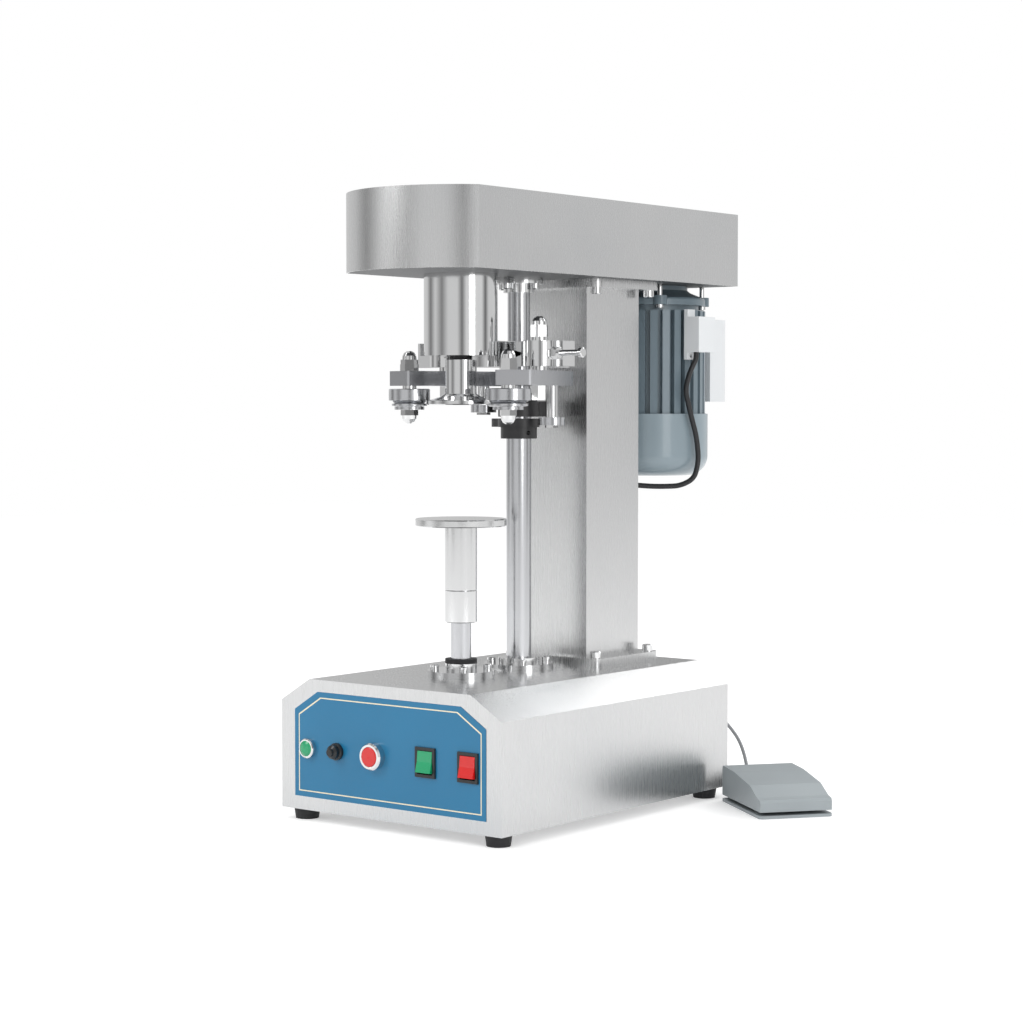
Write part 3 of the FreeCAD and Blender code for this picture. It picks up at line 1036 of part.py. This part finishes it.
frames = []
for x in (GREEN_X, RED_X):
    half_x, half_z = "switch_width / 2", "switch_height / 2"
    body = prism("switch_frame", rectangle(f"-{half_x}", f"-{half_z}", half_x, half_z), "switch_frame", "XZ_Plane")
    sketch = new_sketch(body, "XZ_Plane")
    cut_x, cut_z = f"({SWITCH_CUT_X} - seat_gap)", f"({SWITCH_CUT_Z} - seat_gap)"
    add_outline(sketch, rectangle(f"-{cut_x}", f"-{cut_z}", cut_x, cut_z))
    pad(body, sketch, "switch_depth", reverse=True)
    sketch = new_sketch(body, "XZ_Plane")
    open_x, open_z = f"({half_x} - switch_rim)", f"({half_z} - switch_rim)"
    add_outline(sketch, rectangle(f"-{open_x}", f"-{open_z}", open_x, open_z))
    feature = body.newObject("PartDesign::Pocket", "rocker_well")
    feature.Profile = sketch
    tie(feature, Length="switch_depth - 9")
    doc.recompute()
    sketch = new_sketch(body, "XZ_Plane")
    add_outline(sketch, rectangle(f"-{open_x}", f"-{open_z}", open_x, open_z))
    feature = body.newObject("PartDesign::Pocket", "rocker_window")
    feature.Profile = sketch
    feature.Reversed = True
    tie(feature, Length="switch_frame + 1")
    doc.recompute()
    frames.append(place(body, x, f"{PANEL} - 0.05", "control_z"))
group("switch_frames", frames)


def rocker_shape():
    """A rocker about its own axis: two faces at a shallow angle over a rounded underside."""
    half_x = number("switch_width / 2 - switch_rim - rocker_gap / 2")
    half_z = number("switch_height / 2 - switch_rim - rocker_gap")
    tilt = math.radians(number("switch_tilt"))
    bulge, depth = number("rocker_bulge"), number("rocker_reach")
    reach = (half_z - bulge * math.sin(tilt)) / math.cos(tilt)
    corners = [(-reach, bulge), (0, bulge - reach * math.tan(tilt) * 0.55), (reach, bulge), (reach * 0.98, 1.0),
               (reach * 0.5, -depth), (-reach * 0.5, -depth), (-reach * 0.98, 1.0)]
    corners = [FreeCAD.Vector(-half_x, -out, up) for up, out in corners]
    face = Part.Face(Part.makePolygon(corners + corners[:1]))
    return face.extrude(FreeCAD.Vector(2 * half_x, 0, 0))


for label, x in (("green_rocker", GREEN_X), ("red_rocker", RED_X)):
    part(solid(label, rocker_shape(), x, f"{PANEL} - 0.05", "control_z", (X_AXIS, "-switch_tilt")), label)

# ---- foot switch ----------------------------------------------------------------------------------

PEDAL_TURN = (Z_AXIS, "pedal_angle")
REAR, FRONT = "(-pedal_length / 2)", "(pedal_length / 2)"
SIDE = "(pedal_width / 2)"
body = prism("pedal_base", rectangle(REAR, f"-{SIDE}", FRONT, SIDE), "pedal_plate")
round_edges(body, body.Tip, upright_edges(body.Tip), "pedal_round")
BLOCK = f"{REAR} + 2 * hinge_inset"
sketch = new_sketch(body, "XY_Plane", "pedal_plate")
add_outline(sketch, rectangle(BLOCK, "-pedal_block / 2", f"{BLOCK} + pedal_block", "pedal_block / 2"))
pad(body, sketch, "pedal_block * 0.4")
HINGE = (f"{REAR} + hinge_inset", "inlet_z + hinge_rise")
sketch = new_sketch(body, "XZ_Plane")
add_circle(sketch, *HINGE, "hinge_radius")
pad(body, sketch, "pedal_width - 2", middle=True)
rail = f"({SIDE} - 2.5 * pedal_wall)"
sketch = new_sketch(body, "XY_Plane", "pedal_plate")
add_outline(sketch, rectangle(f"{HINGE[0]} - hinge_rise", f"-{rail}", f"{HINGE[0]} + hinge_rise", rail))
pad(body, sketch, "inlet_z - pedal_plate + hinge_rise - 1")
part(place(body, "pedal_x", "pedal_y", 0, PEDAL_TURN), "pedal_base")

TREAD_LOW = "(pedal_plate + pedal_slot)"
side_view = [
    (f"{REAR} + 1", TREAD_LOW), (f"{FRONT} - 1", TREAD_LOW), (f"{FRONT} - 1", "pedal_front - 3"),
    (f"{FRONT} - 3", "pedal_front"), (f"{FRONT} - pedal_lip", "pedal_front + 1.5"),
    (f"{FRONT} - pedal_lip * 3", "pedal_front + 12"), (f"{REAR} + pedal_ridge + 12", "pedal_rear - 3"),
    (f"{REAR} + pedal_ridge", "pedal_rear - 1.5"), (f"{REAR} + 3", "pedal_rear"), (f"{REAR} + 1", "pedal_rear - 2")]
body = prism("pedal_tread", side_view, "pedal_width - 2", "XZ_Plane", middle=True)
inside = [
    (f"{REAR} + 1 + pedal_wall", f"{TREAD_LOW} - 1"), (f"{FRONT} - 1 - pedal_wall", f"{TREAD_LOW} - 1"),
    (f"{FRONT} - 1 - pedal_wall", "pedal_front - 5"), (f"{FRONT} - pedal_lip - 2", "pedal_front - 2"),
    (f"{FRONT} - pedal_lip * 3 - 2", "pedal_front + 8"), (f"{REAR} + pedal_ridge + 8", "pedal_rear - 6.5"),
    (f"{REAR} + 1 + pedal_wall", "pedal_rear - 4.5")]
sketch = new_sketch(body, "XZ_Plane")
add_outline(sketch, inside)
feature = body.newObject("PartDesign::Pocket", "underside")
feature.Profile = sketch
feature.Midplane = True
tie(feature, Length="pedal_width - 2 - 2 * pedal_wall")
doc.recompute()
sketch = new_sketch(body, "YZ_Plane", REAR)
add_outline(sketch, rectangle("inlet_offset - relief_radius - 1", f"{TREAD_LOW} - 1",
                              "inlet_offset + relief_radius + 1", "inlet_z + relief_radius + 1"))
feature = body.newObject("PartDesign::Pocket", "inlet_notch")
feature.Profile = sketch
feature.Reversed = True
tie(feature, Length="6")
doc.recompute()
drill(body, [(*HINGE, "hinge_radius + running_gap")], "XZ_Plane")
part(place(body, "pedal_x", "pedal_y", 0, PEDAL_TURN), "pedal_tread")

# ---- cords ----------------------------------------------------------------------------------------


def cord_tube(points, radius, label):
    """A tube along straight runs joined by tangent arcs, each arc as large as its two runs allow."""
    points = [FreeCAD.Vector(*p) for p in points]
    edges, start, length = [], points[0], 0.0
    radii = []
    for before, corner, after in zip(points, points[1:], points[2:]):
        back, ahead = (before - corner), (after - corner)
        half_turn = (math.pi - back.getAngle(ahead)) / 2
        reach = 0.45 * min(back.Length, ahead.Length)
        bend = reach / math.tan(half_turn)
        radii.append(round(bend, 1))
        back.normalize()
        ahead.normalize()
        enter, leave = corner + back * reach, corner + ahead * reach
        middle_line = (back + ahead).normalize()
        middle = corner + middle_line * (bend / math.cos(half_turn) - bend)
        edges += [Part.LineSegment(start, enter).toShape(), Part.Arc(enter, middle, leave).toShape()]
        start = leave
    edges.append(Part.LineSegment(start, points[-1]).toShape())
    path = Part.Wire(edges)
    direction = points[1] - points[0]
    circle = Part.Wire(Part.Circle(points[0], direction, radius).toShape())
    tube = Part.Solid(path.makePipeShell([circle], True, False))
    ratio = tube.Volume / (math.pi * radius * radius * path.Length)
    print(f"{label}: length {path.Length:.0f} mm, radii {radii}, volume ratio {ratio:.4f}")
    return tube


gland_x, gland_z = number("gland_x"), number("gland_z")
gland_tip = number("base_length / 2 + gland_length")
coil_x, coil_y = number("coil_x"), number("coil_y")
# Out of the rear wall, down in a loose bow and onto the top turn of the coil.
pedal_route = [
    (gland_x, gland_tip, gland_z), (gland_x + 1, gland_tip + 15, gland_z - 1), (120, 257, 89), (133, 263, 74),
    (145, 262, 61), (154, 259, 46), (160, 256, 31), (coil_x - 24.3, coil_y - 17.9, 19),
    (coil_x - 17.8, coil_y - 21.9, 13)]
part(solid("pedal_cord", cord_tube(pedal_route, number("cord_radius"), "pedal_cord")), "pedal_cord")

layer = "2 * cord_radius"
COIL_TOP = f"({layer} * coil_layers)"
body = revolve("pedal_cord_coil", [
    (f"coil_radius - {layer}", "1"), (f"coil_radius - {layer} + 1", "0"), (f"coil_radius + {layer} - 1", "0"),
    (f"coil_radius + {layer}", "1"), (f"coil_radius + {layer}", f"{COIL_TOP} - 1"),
    (f"coil_radius + {layer} - 1", COIL_TOP), (f"coil_radius - {layer} + 1", COIL_TOP),
    (f"coil_radius - {layer}", f"{COIL_TOP} - 1")])
part(place(body, "coil_x", "coil_y", "0.1"), "pedal_cord_coil")

rear_gland = revolve("rear_gland", [
    ("cord_radius + seat_gap", "-sheet - gland_reach"), ("gland_thread", "-sheet - gland_reach"),
    ("gland_thread", "seat_gap"), ("gland_radius", "seat_gap"), ("gland_radius", "gland_nut"),
    ("cord_radius + 1.2", "gland_length - 0.5"), ("cord_radius + seat_gap", "gland_length - 0.5")])
place(rear_gland, "gland_x", "base_length / 2", "gland_z", FACING_BACK)
column_gland = revolve("column_gland", [
    ("lead_radius + seat_gap", "-column_wall - 4"), ("gland_thread", "-column_wall - 4"),
    ("gland_thread", "seat_gap"), ("gland_radius + 1", "seat_gap"), ("gland_radius + 1", "gland_nut"),
    ("gland_radius", "gland_nut + 1"), ("lead_radius + seat_gap", "gland_nut + 1")])
place(column_gland, "0", "column_y + column_depth / 2", "column_gland_z", FACING_BACK)
group("cable_glands", [rear_gland, column_gland])

body = revolve("pedal_relief", [
    ("0", "0.05"), ("relief_radius", "0.05"), ("relief_radius", "5"), ("relief_tip", "relief_length"),
    ("0", "relief_length")])
body.Placement = FreeCAD.Placement(
    FreeCAD.Vector(), FreeCAD.Rotation(Z_AXIS, number("pedal_angle")) * FreeCAD.Rotation(FreeCAD.Vector(0, 1, 0), -90))
place(body, f"pedal_x + ({REAR} + 5) * cos(pedal_angle) - inlet_offset * sin(pedal_angle)",
      f"pedal_y + ({REAR} + 5) * sin(pedal_angle) + inlet_offset * cos(pedal_angle)", "inlet_z")
part(body, "pedal_relief")

lead_route = [
    (80, 263, number("terminal_bottom")), (80, 263, 522), (76, 254, 504), (73, 250, 484), (75.5, 258, 455),
    (78, 268, 426), (79.5, 270, 398), (76, 266, 376), (62, 256, 367), (40, 238, 366), (18, 220, 368),
    (2, 205, 371), (0, 195, number("column_gland_z"))]
part(solid("motor_lead", cord_tube(lead_route, number("lead_radius"), "motor_lead")), "motor_lead")

# ---- output ---------------------------------------------------------------------------------------

doc.recompute()
failed = [item.Label for item in doc.Objects if {"Invalid", "Error"} & set(item.State)]
if failed:
    raise RuntimeError(f"failed objects: {failed}")
os.makedirs("parts", exist_ok=True)
faces = 0
for item in parts:
    shape = item.Shape
    if shape.isNull() or not shape.isValid() or not shape.Solids:
        raise RuntimeError(f"{item.Label} has no valid shape")
    faces += len(shape.Faces)
    shape.exportStep(f"parts/{item.Label}.step")
print(f"{len(parts)} parts, {faces} faces")
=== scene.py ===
import math

import bmesh
import bpy
from mathutils import Matrix, Vector


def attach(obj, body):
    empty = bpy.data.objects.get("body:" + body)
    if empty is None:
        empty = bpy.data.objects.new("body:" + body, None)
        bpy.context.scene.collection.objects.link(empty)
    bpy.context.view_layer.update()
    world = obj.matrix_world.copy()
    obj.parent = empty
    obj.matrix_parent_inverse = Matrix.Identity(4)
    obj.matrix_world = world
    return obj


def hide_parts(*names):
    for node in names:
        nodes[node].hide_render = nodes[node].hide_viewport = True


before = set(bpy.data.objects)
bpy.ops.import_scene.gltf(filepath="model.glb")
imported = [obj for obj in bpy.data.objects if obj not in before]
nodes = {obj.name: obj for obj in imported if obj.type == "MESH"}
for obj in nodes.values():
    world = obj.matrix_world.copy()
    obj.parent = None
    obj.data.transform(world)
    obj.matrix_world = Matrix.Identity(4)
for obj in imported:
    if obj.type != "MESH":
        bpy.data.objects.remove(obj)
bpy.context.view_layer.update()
scene = bpy.context.scene
mm = 0.001
print("frame loaded:", len(nodes), "nodes")

camera = {"place": (1.65991, -2.18217, 0.46406), "azimuth": 38.25, "pitch": 2.6, "lens": 81.76}


def makeCamera():
    data = bpy.data.cameras.new("camera")
    data.lens = camera["lens"]
    data.clip_end = 20
    obj = bpy.data.objects.new("camera", data)
    obj.location = camera["place"]
    obj.rotation_euler = (math.radians(90 - camera["pitch"]), 0, math.radians(camera["azimuth"]))
    scene.collection.objects.link(obj)
    scene.camera = obj


makeCamera()

def hexColour(code, alpha=1.0):
    channels = [int(code[i:i + 2], 16) / 255 for i in (1, 3, 5)]
    linear = [c / 12.92 if c <= 0.04045 else ((c + 0.055) / 1.055) ** 2.4 for c in channels]
    return (*linear, alpha)


def addNode(tree, kind, inputs=None, **settings):
    node = tree.nodes.new(kind)
    for name, value in settings.items():
        setattr(node, name, value)
    for name, value in (inputs or {}).items():
        if isinstance(value, bpy.types.NodeSocket):
            tree.links.new(value, node.inputs[name])
        else:
            node.inputs[name].default_value = value
    return node


def newMaterial(name):
    material = bpy.data.materials.new(name)
    material.use_nodes = True
    material.node_tree.nodes.clear()
    return material, material.node_tree


def finishMaterial(tree, shader):
    addNode(tree, "ShaderNodeOutputMaterial", {"Surface": shader.outputs[0]})


def makeBrushedSteel(name, tint, grain, roughness, stretch, bump=0.02):
    # Steel worked in one direction: fine scratches widen the highlight across the grain.
    material, tree = newMaterial(name)
    place = addNode(tree, "ShaderNodeTexCoord")
    mapping = addNode(tree, "ShaderNodeMapping", {"Vector": place.outputs["Object"], "Scale": stretch})
    streaks = addNode(tree, "ShaderNodeTexNoise", {"Vector": mapping.outputs[0], "Scale": 1 / (grain * mm),
                                                   "Detail": 3.0, "Roughness": 0.6})
    clouds = addNode(tree, "ShaderNodeTexNoise", {"Vector": place.outputs["Object"], "Scale": 9.0, "Detail": 2.0})
    rough = addNode(tree, "ShaderNodeMapRange", {"Value": streaks.outputs["Fac"], "To Min": roughness * 0.8,
                                                 "To Max": roughness * 1.25})
    colour = addNode(tree, "ShaderNodeMix", {"Factor": clouds.outputs["Fac"]}, data_type="RGBA")
    colour.inputs["A"].default_value = hexColour(tint[0])
    colour.inputs["B"].default_value = hexColour(tint[1])
    relief = addNode(tree, "ShaderNodeBump", {"Height": streaks.outputs["Fac"], "Strength": bump, "Distance": 0.0002})
    shader = addNode(tree, "ShaderNodeBsdfPrincipled", {"Base Color": colour.outputs["Result"], "Metallic": 1.0,
                                                        "Roughness": rough.outputs[0], "Normal": relief.outputs[0]})
    finishMaterial(tree, shader)
    return material


def makeMoulded(name, tint, roughness, grain, ior=1.5, bump=0.05, coat=0.0):
    # Moulded or sprayed skin: a faint orange peel and a slight drift of tone.
    material, tree = newMaterial(name)
    place = addNode(tree, "ShaderNodeTexCoord")
    peel = addNode(tree, "ShaderNodeTexNoise", {"Vector": place.outputs["Object"], "Scale": 1 / (grain * mm),
                                                "Detail": 2.0})
    drift = addNode(tree, "ShaderNodeTexNoise", {"Vector": place.outputs["Object"], "Scale": 14.0, "Detail": 1.0})
    colour = addNode(tree, "ShaderNodeMix", {"Factor": drift.outputs["Fac"]}, data_type="RGBA")
    colour.inputs["A"].default_value = hexColour(tint[0])
    colour.inputs["B"].default_value = hexColour(tint[1])
    relief = addNode(tree, "ShaderNodeBump", {"Height": peel.outputs["Fac"], "Strength": bump, "Distance": 0.0003})
    shader = addNode(tree, "ShaderNodeBsdfPrincipled", {"Base Color": colour.outputs["Result"],
                                                        "Roughness": roughness, "IOR": ior,
                                                        "Coat Weight": coat, "Normal": relief.outputs[0]})
    finishMaterial(tree, shader)
    return material


stainlessSheet = makeBrushedSteel("stainlessSheet", ("#d0d0d0", "#c6c7c8"), 0.9, 0.26, (1, 1, 0.02))
polishedSteel = makeBrushedSteel("polishedSteel", ("#dcdcdc", "#d2d3d4"), 0.5, 0.09, (0.05, 0.05, 1))
turnedSteel = makeBrushedSteel("turnedSteel", ("#c8c9cb", "#bcbdc0"), 0.4, 0.17, (0.03, 0.03, 1))
groundSteel = makeBrushedSteel("groundSteel", ("#b9babd", "#aeafb2"), 0.5, 0.22, (1, 0.05, 1))
castIron = makeBrushedSteel("castIron", ("#8e8f90", "#828384"), 1.2, 0.42, (1, 1, 1), 0.15)
blackOxide = makeMoulded("blackOxide", ("#1b1b1d", "#242426"), 0.38, 0.5)
primedSteel = makeMoulded("primedSteel", ("#3c3e40", "#47494b"), 0.5, 0.6)
feetRubber = makeMoulded("feetRubber", ("#17171a", "#1f1f22"), 0.62, 0.5)
motorEnamel = makeMoulded("motorEnamel", ("#6f7f88", "#66757e"), 0.34, 0.8, 1.5, 0.08, 0.2)
cowlEnamel = makeMoulded("cowlEnamel", ("#8f9ea6", "#84939b"), 0.28, 0.8, 1.5, 0.05, 0.3)
whiteAbs = makeMoulded("whiteAbs", ("#e6e8ea", "#dfe2e4"), 0.35, 0.6)
pedalAbs = makeMoulded("pedalAbs", ("#a3abae", "#989fa3"), 0.45, 0.5)
blackAbs = makeMoulded("blackAbs", ("#16181a", "#1d1f21"), 0.3, 0.5)
redAcrylic = makeMoulded("redAcrylic", ("#d81614", "#cc100f"), 0.16, 0.9, 1.49, 0.02, 0.4)
greenAcrylic = makeMoulded("greenAcrylic", ("#10a06a", "#0c9560"), 0.16, 0.9, 1.49, 0.02, 0.4)
cordPvc = makeMoulded("cordPvc", ("#9a9c9f", "#8f9194"), 0.45, 0.4)
leadPvc = makeMoulded("leadPvc", ("#16171a", "#1c1d20"), 0.4, 0.4)
panelBlue = makeMoulded("panelBlue", ("#1f76a0", "#1c6f98"), 0.3, 0.8, 1.5, 0.01)
panelCream = makeMoulded("panelCream", ("#f0e6c8", "#ece0c0"), 0.35, 0.8, 1.5, 0.01)
beltRubber = makeMoulded("beltRubber", ("#1a1a1a", "#222222"), 0.7, 0.5)

finishes = {
    stainlessSheet: ["base_shell", "front_panel", "bottom_tray", "column", "belt_guard"],
    polishedSteel: ["spindle_housing", "head_bracket", "lever_pivots", "adjusting_screw", "camshaft_bearings",
                    "lift_guide", "seaming_chuck", "height_tube", "lock_collar", "lift_plate", "cap_screws",
                    "first_lever_pins", "second_lever_pins", "control_bezels"],
    turnedSteel: ["spindle_shaft", "camshaft", "lift_shaft", "first_roller", "second_roller", "first_follower",
                  "second_follower", "spindle_bearings", "motor_rotor", "lift_cam", "lift_crank"],
    groundSteel: ["first_lever", "second_lever"],
    castIron: ["driven_pulley", "drive_pulley"],
    blackOxide: ["seaming_cams"],
    primedSteel: ["bed_plate", "top_plate", "lift_gearmotor"],
    feetRubber: ["rubber_feet", "shaft_seals", "pedal_relief"],
    motorEnamel: ["motor_frame", "motor_end_shield"],
    cowlEnamel: ["fan_cowl"],
    whiteAbs: ["capacitor_box", "terminal_block"],
    pedalAbs: ["pedal_base", "pedal_tread"],
    blackAbs: ["fuse_holder", "fuse_cap", "switch_frames", "cable_glands"],
    redAcrylic: ["start_button", "red_rocker"],
    greenAcrylic: ["green_rocker", "lamp_lens"],
    cordPvc: ["pedal_cord", "pedal_cord_coil"],
    leadPvc: ["motor_lead"],
    beltRubber: ["v_belt"],
}
for finish, names in finishes.items():
    for name in names:
        for slot in nodes[name].material_slots:
            slot.material = finish
print("finishes on all CAD nodes")

def addPiece(name, mesh, body, finish):
    obj = bpy.data.objects.new(name, mesh)
    scene.collection.objects.link(obj)
    obj.data.materials.append(finish)
    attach(obj, body)
    return obj


def meshFrom(name, build):
    mesh = bpy.data.meshes.new(name)
    work = bmesh.new()
    build(work)
    bmesh.ops.recalc_face_normals(work, faces=work.faces)
    work.to_mesh(mesh)
    work.free()
    return mesh


footCord = {"radius": 2.0, "middle": (188.8, 192.5), "rings": (24.0, 20.0), "layers": 4, "pointsPerTurn": 16,
            "start": 232.3, "top": 14.1}


def coilPoints():
    x, y = footCord["middle"]
    points = []
    start = math.radians(footCord["start"])
    count = footCord["pointsPerTurn"]
    for layer in range(footCord["layers"]):
        height = footCord["top"] - 2 * footCord["radius"] * layer
        rings = footCord["rings"] if layer % 2 == 0 else footCord["rings"][::-1]
        for ring, radius in enumerate(rings):
            for step in range(count):
                angle = start + 2 * math.pi * step / count
                points.append((x + radius * math.cos(angle), y + radius * math.sin(angle), height))
    return points


def makeFootCord():
    route = [(112, 150.1, 98), (113, 165.1, 97), (120, 179.1, 89), (133, 185.1, 74), (145, 184.1, 61),
             (154, 181.1, 46), (160, 178.1, 31), (164.5, 174.6, 19)]
    route += coilPoints()
    # Off the bottom turn and up into the foot switch's strain relief.
    route += [(174.1, 173.5, 2.1), (182.0, 167.4, 3.2), (189.0, 164.4, 8.0), (194.0, 160.7, 8.4)]
    curve = bpy.data.curves.new("footCord", "CURVE")
    curve.dimensions = "3D"
    spline = curve.splines.new("NURBS")
    spline.points.add(len(route) - 1)
    for point, place in zip(spline.points, route):
        point.co = (*[c * mm for c in place], 1)
    spline.order_u = 3
    spline.use_endpoint_u = True
    curve.bevel_depth = footCord["radius"] * mm
    curve.bevel_resolution = 3
    obj = bpy.data.objects.new("footCord", curve)
    scene.collection.objects.link(obj)
    curve.materials.append(cordPvc)
    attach(obj, "frame")
    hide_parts("pedal_cord", "pedal_cord_coil")
    print("foot-switch cord made")


makeFootCord()

# The printed plate on the front panel: blue with one cream line, and no words.
panelPlate = {"front": -293.9, "thickness": 0.35, "side": 137.7, "low": 28.0, "high": 147.0, "cornerWide": 34.5,
              "cornerTall": 21.5, "lineInset": 6.0, "lineWidth": 1.3, "switches": (54.8, 113.8), "holeWide": 12.0,
              "holeTall": 14.4, "controlHeight": 83.0}


def plateOutline(inset):
    p = panelPlate
    side, low, high = p["side"] - inset, p["low"] + inset, p["high"] - inset
    slope = math.atan2(p["cornerTall"], p["cornerWide"])
    wide = p["cornerWide"] - inset * math.tan(slope / 2)
    tall = wide * p["cornerTall"] / p["cornerWide"]
    return [(-side, low), (side, low), (side, high - tall), (side - wide, high), (wide - side, high),
            (-side, high - tall)]


def fillLoops(work, loops, depth):
    # A flat face with holes at the given depth.
    edges = []
    for loop in loops:
        verts = [work.verts.new((x * mm, depth * mm, z * mm)) for x, z in loop]
        edges += [work.edges.new(pair) for pair in zip(verts, verts[1:] + verts[:1])]
    bmesh.ops.triangle_fill(work, edges=edges, use_beauty=True)


def buildPlate(work):
    p = panelPlate
    holes = []
    for x in p["switches"]:
        z, wide, tall = p["controlHeight"], p["holeWide"], p["holeTall"]
        holes.append([(x - wide, z - tall), (x + wide, z - tall), (x + wide, z + tall), (x - wide, z + tall)])
    fillLoops(work, [plateOutline(0)] + holes, p["front"] - p["thickness"])


def buildLine(work):
    p = panelPlate
    inner = p["lineInset"] + p["lineWidth"]
    fillLoops(work, [plateOutline(p["lineInset"]), plateOutline(inner)], p["front"] - p["thickness"] - 0.05)


addPiece("panelPlate", meshFrom("panelPlate", buildPlate), "frame", panelBlue)
addPiece("panelLine", meshFrom("panelLine", buildLine), "frame", panelCream)
print("panel plate made")


studio = {"floor": "#f4f4f4", "floorLift": 0.3, "world": 0.8, "key": 26.0, "fill": 14.0, "rim": 14.0,
          "bands": [(0.0, 0.95), (0.06, 0.3), (0.12, 1.0), (0.19, 0.35), (0.25, 1.0), (0.33, 1.0), (0.37, 0.25),
                    (0.41, 1.1), (0.55, 1.1), (0.59, 0.2), (0.63, 1.0), (0.78, 1.0), (0.82, 0.3), (0.88, 0.95)]}


def seenRays(tree):
    # One for rays that show the background itself: straight, mirrored or through glass.
    path = addNode(tree, "ShaderNodeLightPath")
    near = addNode(tree, "ShaderNodeMath", {0: path.outputs["Is Camera Ray"], 1: path.outputs["Is Glossy Ray"]},
                   operation="MAXIMUM")
    seen = addNode(tree, "ShaderNodeMath", {0: near.outputs[0], 1: path.outputs["Is Transmission Ray"]},
                   operation="MAXIMUM")
    return seen.outputs[0]


def makeFloor():
    mesh = meshFrom("floor", lambda work: bmesh.ops.create_grid(work, x_segments=2, y_segments=2, size=6))
    obj = bpy.data.objects.new("floor", mesh)
    scene.collection.objects.link(obj)
    material, tree = newMaterial("paleFloor")
    base = addNode(tree, "ShaderNodeBsdfDiffuse", {"Color": hexColour(studio["floor"])})
    lift = addNode(tree, "ShaderNodeMath", {0: seenRays(tree), 1: studio["floorLift"]}, operation="MULTIPLY")
    glow = addNode(tree, "ShaderNodeEmission", {"Color": (1, 1, 1, 1), "Strength": lift.outputs[0]})
    both = addNode(tree, "ShaderNodeAddShader", {0: base.outputs[0], 1: glow.outputs[0]})
    finishMaterial(tree, both)
    obj.data.materials.append(material)


def makeWorld():
    world = bpy.data.worlds.new("studio")
    scene.world = world
    world.use_nodes = True
    tree = world.node_tree
    tree.nodes.clear()
    path = addNode(tree, "ShaderNodeLightPath")
    # Metal mirrors a studio with soft dark and light upright bands; the camera sees plain white.
    place = addNode(tree, "ShaderNodeTexCoord")
    split = addNode(tree, "ShaderNodeSeparateXYZ", {"Vector": place.outputs["Generated"]})
    angle = addNode(tree, "ShaderNodeMath", {0: split.outputs["Y"], 1: split.outputs["X"]}, operation="ARCTAN2")
    turn = addNode(tree, "ShaderNodeMapRange", {"Value": angle.outputs[0], "From Min": -math.pi,
                                                "From Max": math.pi})
    bands = addNode(tree, "ShaderNodeValToRGB", {"Fac": turn.outputs[0]})
    stops = studio["bands"]
    while len(bands.color_ramp.elements) < len(stops):
        bands.color_ramp.elements.new(0.5)
    for element, (spot, level) in zip(bands.color_ramp.elements, stops):
        element.position = spot
        element.color = (level, level, level, 1)
    glossy = addNode(tree, "ShaderNodeMix", {"Factor": path.outputs["Is Glossy Ray"], "A": (1, 1, 1, 1),
                                             "B": bands.outputs[0]}, data_type="RGBA")
    light = addNode(tree, "ShaderNodeBackground", {"Color": glossy.outputs["Result"], "Strength": studio["world"]})
    seen = addNode(tree, "ShaderNodeBackground", {"Color": (1, 1, 1, 1), "Strength": 1.0})
    mix = addNode(tree, "ShaderNodeMixShader", {0: path.outputs["Is Camera Ray"], 1: light.outputs[0],
                                                2: seen.outputs[0]})
    addNode(tree, "ShaderNodeOutputWorld", {"Surface": mix.outputs[0]})


def makeLamp(name, place, size, power, target=(0, 0, 0.4)):
    data = bpy.data.lights.new(name, "AREA")
    data.shape = "RECTANGLE"
    data.size, data.size_y = size
    data.energy = power
    obj = bpy.data.objects.new(name, data)
    obj.location = place
    obj.rotation_euler = (Vector(target) - Vector(place)).to_track_quat("-Z", "Y").to_euler()
    scene.collection.objects.link(obj)


makeFloor()
makeWorld()
makeLamp("key", (-1.2, -2.2, 1.9), (1.0, 1.6), studio["key"])
makeLamp("fill", (2.4, -0.8, 1.2), (0.8, 1.8), studio["fill"])
makeLamp("rim", (0.5, 2.0, 1.8), (1.4, 0.8), studio["rim"])
scene.view_settings.view_transform = "Standard"
print("studio ready")
